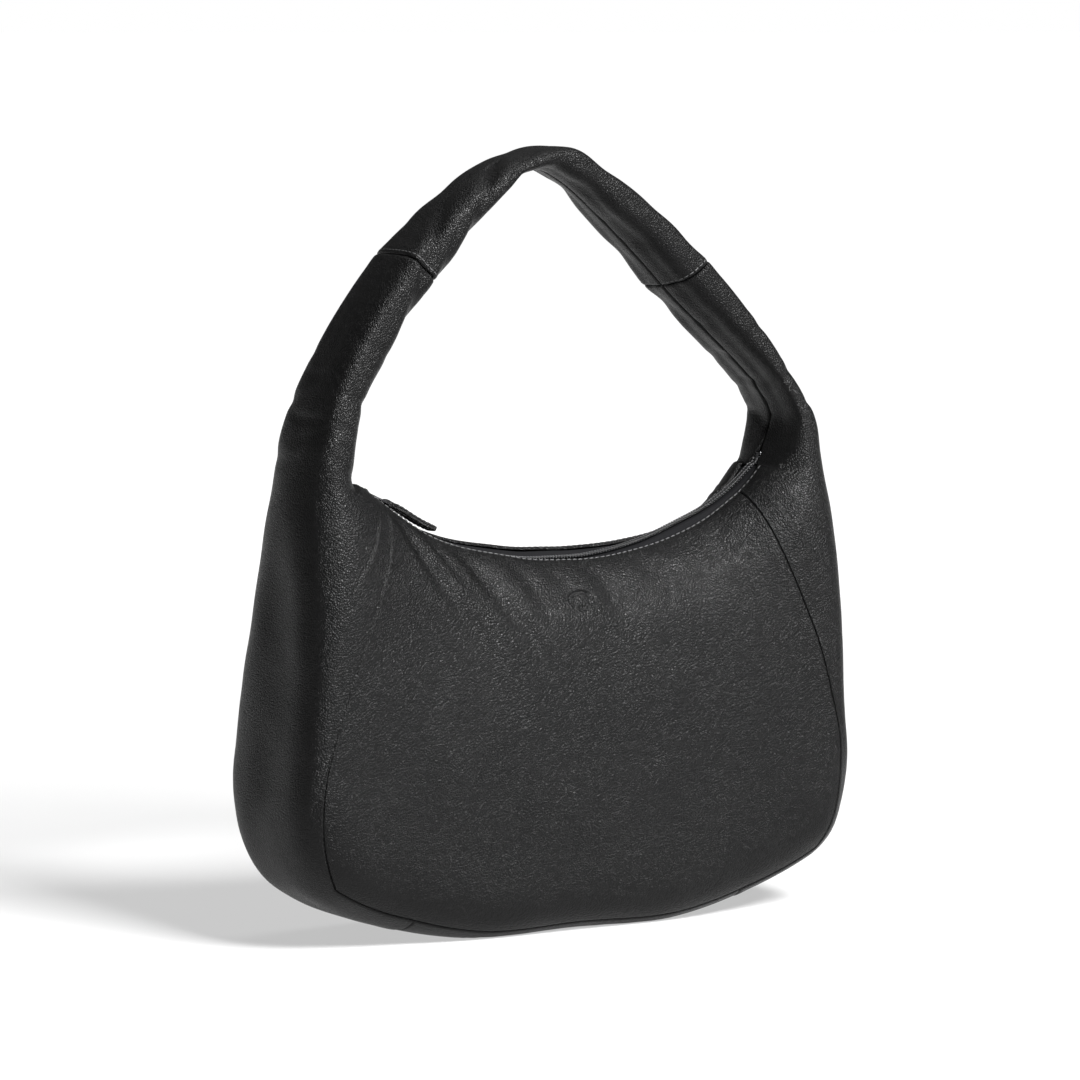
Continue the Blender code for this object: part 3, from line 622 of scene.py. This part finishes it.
def woven_material(name, low, high, scale, roughness=0.8, depth=0.00012, sheen=0.15, shine=0.3):
    """A plain weave: two crossing sets of yarns, with painted shade darkening the colour between them."""
    n = Nodes(name)
    sets = []
    for direction in ("X", "Y", "Z"):
        wave = n.add("ShaderNodeTexWave", wave_type="BANDS", bands_direction=direction)
        wave.inputs["Scale"].default_value = scale
        n.link(n.coords, wave.inputs["Vector"])
        sets.append(wave.outputs["Fac"])
    yarns = n.maths("MULTIPLY", n.maths("MAXIMUM", sets[0], sets[2]), n.ramp(sets[1], 0.0, 1.0, 0.6, 1.0))
    fuzz = n.noise(3000.0, 2.0)
    blotch = n.noise(40.0, 2.0)
    # Colour: darker where the yarns are low, as painted shade between the yarns, times a random blotchy tone.
    tone = n.maths("MULTIPLY", yarns, n.ramp(blotch, 0.3, 0.7, 0.7, 1.0))
    height = n.maths("ADD", yarns, n.maths("MULTIPLY", fuzz, 0.3))
    return n.put(Base_Color=n.colours(tone, low, high), Roughness=n.ramp(fuzz, 0.3, 0.7, roughness - 0.08,
                 roughness + 0.08), Normal=n.bump(height, depth), Specular_IOR_Level=shine,
                 Sheen_Weight=sheen, Sheen_Roughness=0.5)


def nylon_material(name):
    """Moulded zip coil."""
    n = Nodes(name)
    flecks = n.noise(900.0, 2.0)
    return n.put(Base_Color=n.colours(flecks, (0.008, 0.008, 0.009), (0.02, 0.02, 0.021)),
                 Roughness=n.ramp(flecks, 0.3, 0.7, 0.3, 0.44), Normal=n.bump(flecks, 0.00003),
                 Specular_IOR_Level=0.5)


def metal_material(name):
    """Black-nickel fittings with fine rubbing marks."""
    n = Nodes(name)
    stretch = n.add("ShaderNodeMapping")
    stretch.inputs["Scale"].default_value = (300.0, 3000.0, 3000.0)
    n.link(n.coords, stretch.inputs["Vector"])
    marks = n.noise(1.0, 3.0, 0.6, stretch.outputs["Vector"])
    spots = n.noise(260.0, 2.0)
    tone = n.ramp(spots, 0.3, 0.7)
    rough_value = n.maths("ADD", n.ramp(marks, 0.3, 0.7, 0.16, 0.26), n.ramp(spots, 0.3, 0.7, 0.0, 0.08))
    return n.put(Base_Color=n.colours(tone, (0.055, 0.055, 0.058), (0.10, 0.10, 0.105)), Metallic=1.0,
                 Roughness=rough_value, Normal=n.bump(marks, 0.00002))


def board_material(name):
    """Pressed fibre board."""
    n = Nodes(name)
    fibre = n.noise(700.0, 5.0, 0.7)
    return n.put(Base_Color=n.colours(fibre, (0.10, 0.085, 0.065), (0.26, 0.22, 0.17)),
                 Roughness=n.ramp(fibre, 0.3, 0.7, 0.75, 0.9), Normal=n.bump(fibre, 0.0002))


LEATHER_MAT = leather_material("black_leather")
TAB_MAT = leather_material("tab_leather", grain=0.8)
FACING_MAT = leather_material("facing_leather", grain=0.6)
THREAD_MAT = thread_material("black_thread")
# Near-black, matte thread for the side seams: real stitches, made dark as painted shade in the seam grooves.
SEAM_SHADE_THREAD_MAT = thread_material("seam_shade_thread", (0.006, 0.006, 0.006), 0.05)
TAPE_MAT = woven_material("zip_tape_weave", (0.004, 0.004, 0.0045), (0.010, 0.010, 0.011), 900.0,
                          sheen=0.0, shine=0.06)
LINING_MAT = woven_material("lining_weave", (0.02, 0.019, 0.018), (0.06, 0.057, 0.052), 500.0, 0.75)
WEBBING_MAT = woven_material("webbing_weave", (0.02, 0.02, 0.02), (0.06, 0.06, 0.06), 240.0, 0.8, 0.0003)
COIL_MAT = nylon_material("zip_coil_nylon")
METAL_MAT = metal_material("black_nickel")
BOARD_MAT = board_material("fibre_board")


def ride(piece, body, slot, *nodes):
    """Places a piece on a CAD body, instead of CAD nodes; the slot argument is not used."""
    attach(piece, body)
    if nodes:
        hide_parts(*nodes)


# ---------------------------------------------------------------- leather panels


def with_extra(values, low, high, step):
    """Sorted values with a finer stretch between low and high."""
    kept = values[(values < low) | (values > high)]
    return np.sort(np.concatenate([kept, np.arange(low, high, step)]))


def panel_grid(side, rows=96, cols=150, first=BASE_W, last=1.0, emblem=False):
    """Places of the front (side -1) or back (+1) panel."""
    height = (last - first) * 255.0
    q = first + (last - first) * spaced(rows, height)
    f = spaced(cols, 400.0) * 2.0 - 1.0
    if emblem:
        q = with_extra(q, 0.87, 0.945, 0.0022)
        f = with_extra(f, -0.05, 0.05, 0.0020)
    half = along_table(SEAM, q)
    inset = 0.4 / half
    s = half[:, None] * f[None, :] * (1.0 - inset)[:, None]
    w = np.repeat(side * q[:, None], len(f), axis=1)
    return s, w


def side_grid(end, last_mouth=GUSSET_END, tube=True, counts=(14, 90, 64, 70), cols=64):
    """Places of the side piece: the gusset from the base seam up, then the strap's root as a tube."""
    corner, ridge0 = SEAM[0][1], GUSSET_RIDGE[0][1]
    t = np.concatenate([[0.0, 0.006, 0.017, 0.031, 0.05], np.linspace(0.08, 1.0, counts[0])])[:-1]
    rung = [(BASE_END + (ridge0 - BASE_END) * a, BASE_END + (corner - BASE_END) * a, BASE_W) for a in t]
    q = BASE_W + (1.0 - BASE_W) * np.linspace(0.0, 1.0, counts[1])
    rung += list(zip(along_table(GUSSET_RIDGE, q), along_table(SEAM, q), q))
    ridge1, edge1, _ = rung[-1]
    reach = (last_mouth - edge1) / (GUSSET_END - edge1)
    t = np.linspace(0.0, reach, counts[2])[1:]
    rung += [(ridge1 + (GUSSET_END - ridge1) * a, edge1 + (GUSSET_END - edge1) * a, 1.0) for a in t]
    if tube:
        u = np.linspace(GUSSET_END, STRAP_SEAM - 3.4, counts[3])[1:]
        u = np.concatenate([u, STRAP_SEAM - 0.15 - np.array([2.2, 1.3, 0.7, 0.25, 0.0])])
        rung += [(a, a, 1.0) for a in u]
    rung = np.array(rung)
    f = spaced(cols, 110.0) * 2.0 - 1.0
    blend = np.sqrt(f ** 2 + 0.0004) - 0.02
    s = rung[:, :1] + (rung[:, 1:2] - rung[:, :1]) * blend[None, :]
    w = rung[:, 2:3] * f[None, :]
    length = skin.half_length(end * rung[:, 1])
    w *= (1.0 - 0.4 / length)[:, None]
    return end * s, w


def tube_grid(rows=170, cols=64):
    """Places of the strap's top between its two seams."""
    left = np.linspace(-STRAP_SEAM - 3.4, skin.start, rows // 2)
    right = np.linspace(skin.end, STRAP_SEAM + 3.4, rows // 2)[1:]
    edge = np.array([0.0, 0.25, 0.7, 1.3, 2.2]) + 0.15
    s = np.concatenate([-STRAP_SEAM - edge, left, right, STRAP_SEAM + edge[::-1]])
    f = (spaced(cols, 110.0) * 2.0 - 1.0) * 0.9985
    return np.repeat(s[:, None], len(f), axis=1), np.repeat(f[None, :], len(s), axis=0)


def base_grid(rows=110, cols=30):
    """Places of the base panel."""
    s = (spaced(rows, 220.0) * 2.0 - 1.0) * (BASE_END - 0.15)
    w = (spaced(cols, 90.0) * 2.0 - 1.0) * (BASE_W - 0.0008)
    return np.repeat(s[:, None], len(w), axis=1), np.repeat(w[None, :], len(s), axis=0)


def make_leather():
    for name, side in (("front", -1), ("back", 1)):
        s, w = panel_grid(side, emblem=side < 0)
        panel = sheet(name + "_panel_leather", s, w, LEATHER_MAT)
        ride(panel, "bag", "leather", name + "_panel")
    s, w = base_grid()
    ride(sheet("base_leather", s, w, LEATHER_MAT), "bag", "leather", "base_panel")
    for name, end in (("left", -1), ("right", 1)):
        s, w = side_grid(end)
        piece = sheet(name + "_side_leather", s, w, LEATHER_MAT, proud=0.35)
        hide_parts(name + "_gusset", name + "_strap_root")
        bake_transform(piece)
    s, w = tube_grid()
    ride(sheet("strap_leather", s, w, LEATHER_MAT, proud=0.35), "strap", "leather", "strap_top")


make_leather()

# ---------------------------------------------------------------- lining and what is inside


def make_inside():
    """The fabric lining, the leather facings inside the mouth, and the slip pocket on the back."""
    top = BASE_W + (1.0 - BASE_W) * 0.8
    for name, side in (("front", -1), ("back", 1)):
        s, w = panel_grid(side, rows=52, cols=90, last=top)
        piece = sheet(name + "_lining", s, w, LINING_MAT, depth=2.1, thickness=0.6, rounding=0.4)
        ride(piece, "bag", "lining", "lining_" + name)
        s, w = panel_grid(side, rows=16, cols=90, first=top, last=0.985)
        piece = sheet(name + "_facing", s, w, FACING_MAT, depth=3.4, thickness=1.0, rounding=0.5)
        ride(piece, "bag", "leather", "mouth_facing_" + name)
    for name, end in (("left", -1), ("right", 1)):
        s, w = side_grid(end, last_mouth=LINING_END, tube=False, counts=(8, 50, 24, 0), cols=36)
        piece = sheet(name + "_lining", s, w, LINING_MAT, depth=3.2, thickness=0.6, rounding=0.4)
        ride(piece, "bag", "lining", "lining_" + name)
    s, w = base_grid(rows=60, cols=16)
    piece = sheet("base_lining", s, w, LINING_MAT, depth=3.9, thickness=0.6, rounding=0.4)
    ride(piece, "bag", "lining", "lining_base")
    low, high = (BASE_W + (1.0 - BASE_W) * share for share in (0.3, 0.8))
    s, w = panel_grid(1, rows=40, cols=60, first=low, last=high)
    piece = sheet("slip_pocket_panel", s * 0.556, w, LINING_MAT, depth=3.1, thickness=0.6, rounding=0.4)
    ride(piece, "bag", "lining", "slip_pocket")
    s, w = tube_grid(rows=100, cols=18)
    piece = sheet("strap_webbing", s, w * WEBBING_SHARE, WEBBING_MAT, depth=2.8, thickness=1.8, rounding=0.5)
    ride(piece, "strap", "webbing", "strap_core")


make_inside()
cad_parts["base_stiffener"].material_slots[0].material = BOARD_MAT


# ---------------------------------------------------------------- zip


def on_arc(angle, drop, y):
    """A point on the arc that the slider runs on: angle from straight down, drop outward."""
    radius = MOUTH_RADIUS + drop
    return np.array([radius * sin(angle), y, MOUTH_CENTRE_Z - radius * cos(angle)])


class MouthLine:
    """The line along the middle of the mouth, measured from its lowest point; positive to the right."""

    def __init__(self):
        self.s = np.arange(-440.0, 440.5, 1.0)
        row = skin.section(self.s)
        self.points = np.stack([row[:, 2], row[:, 3]], 1)
        length = np.concatenate([[0.0], np.cumsum(np.linalg.norm(np.diff(self.points, axis=0), axis=1))])
        self.length = length - np.interp(0.0, self.points[:, 0], length)
        along = np.gradient(self.points, axis=0)
        along /= np.linalg.norm(along, axis=1)[:, None]
        self.down = np.stack([along[:, 1], -along[:, 0]], 1)

    def read(self, at, table):
        return np.interp(at, self.length, table)

    def place(self, at):
        return self.read(at, self.s)

    def gap(self, at):
        return MOUTH_HALF_GAP * (1.0 - smoothstep(*MOUTH_CLOSES, np.abs(self.place(at))))

    def point(self, at, drop, y):
        """Points at a length along the line, a drop below it and a depth y."""
        at, drop, y = np.broadcast_arrays(at, drop, y)
        x = self.read(at, self.points[:, 0]) + drop * self.read(at, self.down[:, 0])
        z = self.read(at, self.points[:, 1]) + drop * self.read(at, self.down[:, 1])
        z = z + stands(ZIP_LINE, x.ravel()).reshape(x.shape)
        return np.stack([x, y * 1.0, z], -1)


mouth_line = MouthLine()


def grid_solid(name, top, thickness, mat):
    """A closed thin sheet below a grid of points."""
    rows, cols = top.shape[:2]
    normal = grid_normals(top)
    normal *= np.sign(np.mean(normal[:, :, 2]))
    points = np.concatenate([top.reshape(-1, 3), (top - normal * thickness).reshape(-1, 3)])
    return closed_grid(name, points, rows, cols, mat)


def make_tape(name, side):
    """One tape: flat beside the coil, then up or down to the leather's edge and on beneath it."""
    at = np.linspace(ZIP_REACH[0] - 4.0, ZIP_REACH[1] + 9.0, 150)
    gap, place = mouth_line.gap(at), np.abs(mouth_line.place(at))
    across = np.linspace(0.0, 1.0, 14)
    inner, outer = 0.3, np.maximum(gap, 1.5) + 4.5
    y = inner + (outer - inner)[:, None] * across[None, :]
    x = mouth_line.read(at, mouth_line.points[:, 0])
    rise = stands(FRONT_EDGE if side < 0 else BACK_EDGE, x) - stands(ZIP_LINE, x)
    rise *= 1.0 - smoothstep(330.0, 400.0, place)
    climb = smoothstep(3.4, np.maximum(gap, 3.9)[:, None], y) * rise[:, None]
    fall = np.maximum(y - gap[:, None], 0.0) ** 2 * 0.03
    top = mouth_line.point(at[:, None], TAPE_DROP - climb + fall, side * y)
    return grid_solid(name, top, 0.45, TAPE_MAT)


def make_zip():
    """Tapes, the two interlocked halves of the coil with their sewing, and the end stops."""
    low, high = ZIP_REACH
    for name, side, phase in (("front", -1, 0.0), ("back", 1, 0.5)):
        ride(make_tape(name + "_tape", side), "bag", "zip_tape", "zip_tape_" + name)
        at = np.arange(low, high, COIL_PITCH) + phase * COIL_PITCH
        wide = np.minimum(3.2, mouth_line.gap(at) + 0.8)
        starts = mouth_line.point(at, 0.75, -side * 0.55)
        ends = mouth_line.point(at + 0.3, 0.95, side * wide)
        coil = capsule_chain(name + "_coil", starts, ends, 0.66, COIL_MAT)
        ride(coil, "bag", "zip_coil", "zip_coil_" + name)
        sewing = mouth_line.point(np.linspace(low, high, 400), 0.2, side * 2.0)
        thread = stitches(name + "_coil_sewing", sewing, THREAD_MAT, COIL_PITCH, 1.5, 0.24)
        ride(thread, "bag", "zip_coil")
    for name, middle in (("left", low - 1.6), ("right", high + 1.2)):
        at = middle + np.array([-0.8, 0.0, 0.8])
        drop = np.array([1.0, 0.6, 1.0])
        ends = [mouth_line.point(at, drop, y) for y in (-2.7, 2.7)]
        stop = capsule_chain(name + "_stop", ends[0], ends[1], 0.95, METAL_MAT, sides=12)
        ride(stop, "bag", "zip_metal", "zip_stop_" + name)


def loft(name, rings, mat):
    """A closed body through rings of points."""
    rings = np.asarray(rings)
    count, n = rings.shape[:2]
    faces = [tuple(range(n)), tuple(range((count - 1) * n, count * n))]
    for k in range(count - 1):
        for j in range(n):
            a, b = k * n + j, k * n + (j + 1) % n
            faces.append((a, b, b + n, a + n))
    return mesh_object(name, rings.reshape(-1, 3), faces, mat)


def sweep(name, path, half_across, half_out, across, mat, sides=12, closed=False):
    """A wire of oval section along a path; across is the direction of its first half width."""
    path = np.asarray(path)
    if closed:
        along = np.roll(path, -1, 0) - np.roll(path, 1, 0)
    else:
        along = np.gradient(path, axis=0)
    along /= np.linalg.norm(along, axis=1)[:, None]
    side = np.asarray(across) - along * (along @ np.asarray(across))[:, None]
    side /= np.linalg.norm(side, axis=1)[:, None]
    out = np.cross(along, side)
    turn = np.arange(sides) * 2 * pi / sides
    rings = (path[:, None, :] + side[:, None, :] * (half_across * np.cos(turn))[None, :, None]
             + out[:, None, :] * (half_out * np.sin(turn))[None, :, None])
    if not closed:
        return loft(name, rings, mat)
    n, count = sides, len(path)
    faces = []
    for k in range(count):
        for j in range(n):
            a, b = k * n + j, k * n + (j + 1) % n
            c = ((k + 1) % count) * n
            faces.append((a, b, c + (j + 1) % n, c + j))
    return mesh_object(name, rings.reshape(-1, 3), faces, mat)


def join(name, pieces):
    """Joins objects with one material into one."""
    work = bmesh.new()
    for piece in pieces:
        work.from_mesh(piece.data)
    mesh = bpy.data.meshes.new(name)
    work.to_mesh(mesh)
    work.free()
    mesh.materials.append(pieces[0].data.materials[0])
    for piece in pieces:
        bpy.data.objects.remove(piece, do_unlink=True)
    obj = bpy.data.objects.new(name, mesh)
    bpy.context.collection.objects.link(obj)
    return obj


def make_slider():
    """The slider: two rounded plates, the post between them and the bail that holds the puller."""
    tangent = np.array([cos(SLIDER_ANGLE), 0.0, sin(SLIDER_ANGLE)])
    up = np.array([-sin(SLIDER_ANGLE), 0.0, cos(SLIDER_ANGLE)])
    cross = np.array([0.0, 1.0, 0.0])
    centre = on_arc(SLIDER_ANGLE, 0.0, 0.0)
    turn = np.arange(20) * 2 * pi / 20

    def plate(level, crown):
        rings = []
        for t in np.linspace(-1.0, 1.0, 17):
            round_end = (1.0 - abs(t) ** 4) ** 0.5
            half = (4.4 - 0.7 * t) * (0.35 + 0.65 * round_end)
            thick = 0.55 * (0.45 + 0.55 * round_end)
            oval = [(np.sign(cos(a)) * abs(cos(a)) ** 0.55 * half,
                     np.sign(sin(a)) * abs(sin(a)) ** 0.7 * thick) for a in turn]
            middle = centre + tangent * t * 5.2 + up * level
            rings.append([middle + cross * u + up * (v + crown * (1.0 - (u / 4.6) ** 2)) for u, v in oval])
        return loft("plate", rings, METAL_MAT)

    foot = centre + tangent * -2.0
    post = capsule_chain("post", [foot - up * 3.3], [foot + up * 0.7], 0.5, METAL_MAT, sides=12)
    arch = [centre + tangent * (-2.6 * cos(a)) + up * (1.2 + 3.6 * max(sin(a), 0.0) ** 0.6)
            for a in np.linspace(0.0, pi, 25)]
    bail = sweep("bail", arch, 1.1, 0.5, cross, METAL_MAT)
    body = join("slider_fitting", [plate(0.85, 0.25), plate(-3.65, -0.15), post, bail])
    body.data.shade_smooth()
    ride(body, "slider", "zip_metal", "slider_body")


def make_puller():
    """The wire link on the slider, and the tab: two layers of leather turned round the link and sewn."""
    pin = on_arc(SLIDER_ANGLE, PIN_DROP, 0.0)
    slope, drift = PULLER_SLOPE, TAB_DRIFT
    along = np.array([cos(slope) * cos(drift), sin(drift), sin(slope) * cos(drift)])
    across = np.array([-sin(drift) * cos(slope), cos(drift), -sin(drift) * sin(slope)])
    out = np.cross(along, across)

    def at(u, v, level):
        return pin + along * u + across * v + out * level

    outline = []
    corner = 1.6
    for u, v, start in ((LINK_LENGTH - corner, 3.6 - corner, 0), (corner, 3.6 - corner, 90),
                        (corner, corner - 3.6, 180), (LINK_LENGTH - corner, corner - 3.6, 270)):
        for a in np.radians(start + np.linspace(0.0, 90.0, 7)):
            outline.append(at(u + corner * cos(a), v + corner * sin(a), 0.0))
    link = sweep("puller_wire", outline, 0.78, 0.78, out, METAL_MAT, closed=True)
    ride(link, "link", "zip_metal", "puller_link")

    rows = ((0.0, 0.6, 0.5), (0.15, 2.0, 1.2), (0.7, 2.3, 1.75), (1.8, 2.35, 2.05), (3.4, 2.35, 2.1),
            (5.0, 2.4, 1.9), (6.6, 3.2, 1.65), (8.4, 4.5, 1.55), (10.4, 5.4, 1.5), (13.0, 5.75, 1.45),
            (17.0, 5.9, 1.4), (22.0, 5.95, 1.4), (28.0, 5.95, 1.4), (34.0, 6.0, 1.4), (37.2, 6.0, 1.4),
            (37.8, 5.95, 1.35), (38.0, 5.7, 1.1))
    table = np.array(rows)
    fine = np.concatenate([[0.0, 0.15, 0.4], np.linspace(0.8, 37.0, 60), [37.4, 37.7, 37.9, 38.0]])
    rings = []
    for u in fine:
        half, thick = np.interp(u, table[:, 0], table[:, 1]), np.interp(u, table[:, 0], table[:, 2])
        bow = -1.6 * smoothstep(8.0, 38.0, u)
        curve = 0.25 * np.sin(u / 5.0)
        bevel = min(0.55, 0.4 * half)
        notch = 0.28 * smoothstep(8.0, 11.0, u)
        edge = [(-1, -1), (1, 1)]
        ring = []
        for turn_v, turn_h in edge:
            ring += [(turn_v * (half - bevel), -turn_h * thick),
                     (turn_v * (half - 0.12), -turn_h * (thick - 0.3)),
                     (turn_v * half, -turn_h * (thick - 0.62)), (turn_v * half, -turn_h * 0.25),
                     (turn_v * (half - notch), 0.0), (turn_v * half, turn_h * 0.25),
                     (turn_v * half, turn_h * (thick - 0.62)),
                     (turn_v * (half - 0.12), turn_h * (thick - 0.3)),
                     (turn_v * (half - bevel), turn_h * thick),
                     (turn_v * half * 0.35, turn_h * (thick + 0.1)),
                     (-turn_v * half * 0.35, turn_h * (thick + 0.1))]
        rings.append([at(LINK_LENGTH - TAB_START + u * TAB_CUT, v, level + bow + curve) for v, level in ring])
    tab = loft("puller_tab", rings, TAB_MAT)
    ride(tab, "tab", "leather", "pull_tab")

    for name, face in (("upper", 1.0), ("lower", -1.0)):
        path = []
        for u in np.concatenate([np.linspace(6.0, 36.2, 30)]):
            path.append((u, np.interp(u, table[:, 0], table[:, 1]) - 1.5))
        loop = [(u, v) for u, v in path] + [(36.2, v) for v in np.linspace(4.0, -4.0, 8)]
        loop += [(u, -v) for u, v in path[::-1]]
        line = []
        for u, v in loop:
            thick = np.interp(u, table[:, 0], table[:, 2]) + 0.1
            level = face * thick - 1.6 * smoothstep(8.0, 38.0, u) + 0.25 * np.sin(u / 5.0)
            line.append(at(LINK_LENGTH - TAB_START + u * TAB_CUT, v, level))
        row = stitches("tab_stitches_" + name, line, THREAD_MAT, 3.0, 2.1, 0.27)
        ride(row, "tab", "leather")


# ---------------------------------------------------------------- stitching


def on_leather(s, w, height):
    """Points at a height above the settled leather."""
    ds, dw = 1.0, 0.006
    low, high = np.maximum(w - dw, -0.999), np.minimum(w + dw, 0.999)
    normal = np.cross(worn(s, high) - worn(s, low), worn(s + ds, w) - worn(s - ds, w))
    normal /= np.linalg.norm(normal, axis=1)[:, None]
    return worn(s, w) + normal * height


def make_stitching():
    """Topstitching round the mouth and beside the strap's seams, and the stitches down in the side seams,
    near-black and matte as painted shade in the seam grooves.
    """
    s = np.linspace(-STITCH_END, STITCH_END, 900)
    for name, side in (("front", -1), ("back", 1)):
        w = side * (1.0 - STITCH_INSET / skin.half_length(s))
        height, radius = (0.16, 0.42) if side < 0 else (-0.10, 0.34)
        row = stitches("mouth_stitches_" + name, on_leather(s, w, height), THREAD_MAT, radius=radius)
        ride(row, "bag", "leather")
        q = np.linspace(BASE_W + 0.004, 0.995, 400)
        for end_name, end in (("left", -1), ("right", 1)):
            # Side seams: stitches sunk 0.75 mm into the groove, in near-black matte thread as painted shade.
            path = on_leather(end * along_table(SEAM, q), side * q, -0.75)
            seam = stitches(name + "_" + end_name + "_seam_shade_stitches", path, SEAM_SHADE_THREAD_MAT, 3.4, 3.0, 0.55)
            ride(seam, "bag", "leather")
    w = np.linspace(-0.97, 0.97, 300)
    for name, end in (("left", -1), ("right", 1)):
        s = np.full(len(w), end * (STRAP_SEAM + 2.6))
        row = stitches("strap_stitches_" + name, on_leather(s, w, 0.15), THREAD_MAT)
        ride(row, "strap", "leather")


make_zip()
make_slider()
make_puller()
make_stitching()

# ---------------------------------------------------------------- camera, floor and light
AIM = Vector((0.0, 0.0, 0.223))
RIGHT = Vector((0.866, -0.5, 0.0))
AZIMUTH, ELEVATION, DISTANCE = radians(-30.0), radians(6.0), 3.0
AIM += RIGHT * -0.0072 + Vector((0.0, 0.0, -0.0039))
camera_data = bpy.data.cameras.new("camera")
camera_data.sensor_width = 36.0
camera_data.lens = 175.0
camera = bpy.data.objects.new("camera", camera_data)
bpy.context.collection.objects.link(camera)
back = Vector((sin(AZIMUTH) * cos(ELEVATION), -cos(AZIMUTH) * cos(ELEVATION), sin(ELEVATION)))
camera.location = AIM + back * DISTANCE
camera.rotation_euler = back.to_track_quat("Z", "Y").to_euler()
bpy.context.scene.camera = camera

BEHIND = (0.5, 0.866, 0.0)      # from the bag towards the white backdrop
floor_mesh = bpy.data.meshes.new("floor")
RIM = 60.0
turn = [2 * pi * k / 64 for k in range(64)]
floor_mesh.from_pydata([(RIM * cos(a), RIM * sin(a), 0.0) for a in turn], [], [tuple(range(64))])
floor_nodes = Nodes("pale_floor")
patch = floor_nodes.noise(3.0, 2.0)
reach = floor_nodes.add("ShaderNodeVectorMath", operation="LENGTH")
floor_nodes.link(floor_nodes.coords, reach.inputs[0])
glow = floor_nodes.ramp(reach.outputs["Value"], 0.45, 2.0, 0.52, 1.0)
heading = floor_nodes.add("ShaderNodeVectorMath", operation="NORMALIZE")
floor_nodes.link(floor_nodes.coords, heading.inputs[0])
ahead = floor_nodes.add("ShaderNodeVectorMath", operation="DOT_PRODUCT")
floor_nodes.link(heading.outputs[0], ahead.inputs[0])
ahead.inputs[1].default_value = BEHIND
backdrop = floor_nodes.ramp(ahead.outputs["Value"], 0.55, 0.9, 0.5, 1.0)
close = floor_nodes.ramp(reach.outputs["Value"], 0.8, 1.4, 1.0, 0.0)
glow = floor_nodes.maths("MULTIPLY", glow, floor_nodes.maths("MAXIMUM", backdrop, close))
floor_mesh.materials.append(floor_nodes.put(
    Base_Color=floor_nodes.colours(patch, (0.26, 0.26, 0.26), (0.28, 0.28, 0.28)), Roughness=0.8,
    Specular_IOR_Level=0.1, Emission_Color=(1.0, 1.0, 1.0, 1.0), Emission_Strength=glow))
floor = bpy.data.objects.new("floor", floor_mesh)
bpy.context.collection.objects.link(floor)

world = bpy.data.worlds.new("studio")
world.use_nodes = True
sky = world.node_tree
direction = sky.nodes.new("ShaderNodeTexCoord")
height = sky.nodes.new("ShaderNodeSeparateXYZ")
sky.links.new(direction.outputs["Generated"], height.inputs["Vector"])
fade = sky.nodes.new("ShaderNodeMapRange")
fade.interpolation_type = "SMOOTHSTEP"
for key, number in (("From Min", 0.02), ("From Max", 0.09), ("To Min", 1.0), ("To Max", 0.09)):
    fade.inputs[key].default_value = number
sky.links.new(height.outputs["Z"], fade.inputs["Value"])
toward = sky.nodes.new("ShaderNodeVectorMath")
toward.operation = "DOT_PRODUCT"
toward.inputs[1].default_value = BEHIND
sky.links.new(direction.outputs["Generated"], toward.inputs[0])
spread = sky.nodes.new("ShaderNodeMapRange")
for key, number in (("From Min", 0.55), ("From Max", 0.9), ("To Min", 0.45), ("To Max", 1.0)):
    spread.inputs[key].default_value = number
sky.links.new(toward.outputs["Value"], spread.inputs["Value"])
strength = sky.nodes.new("ShaderNodeMath")
strength.operation = "MULTIPLY"
sky.links.new(fade.outputs["Result"], strength.inputs[0])
sky.links.new(spread.outputs["Result"], strength.inputs[1])
sky.links.new(strength.outputs["Value"], sky.nodes["Background"].inputs["Strength"])
sky.nodes["Background"].inputs["Color"].default_value = (1.0, 1.0, 1.0, 1.0)
bpy.context.scene.world = world
bpy.context.scene.view_settings.view_transform = "Standard"


def soft_light(name, location, size, energy):
    """A square softbox that faces the bag."""
    data = bpy.data.lights.new(name, "AREA")
    data.size = size
    data.energy = energy
    light = bpy.data.objects.new(name, data)
    light.location = location
    aim = Vector(location) - Vector((0.0, 0.0, 0.2))
    light.rotation_euler = aim.to_track_quat("Z", "Y").to_euler()
    bpy.context.collection.objects.link(light)


soft_light("key", (0.4, -1.8, 1.85), 0.8, 235.0)
soft_light("top", (0.3, 0.6, 2.2), 0.9, 12.0)
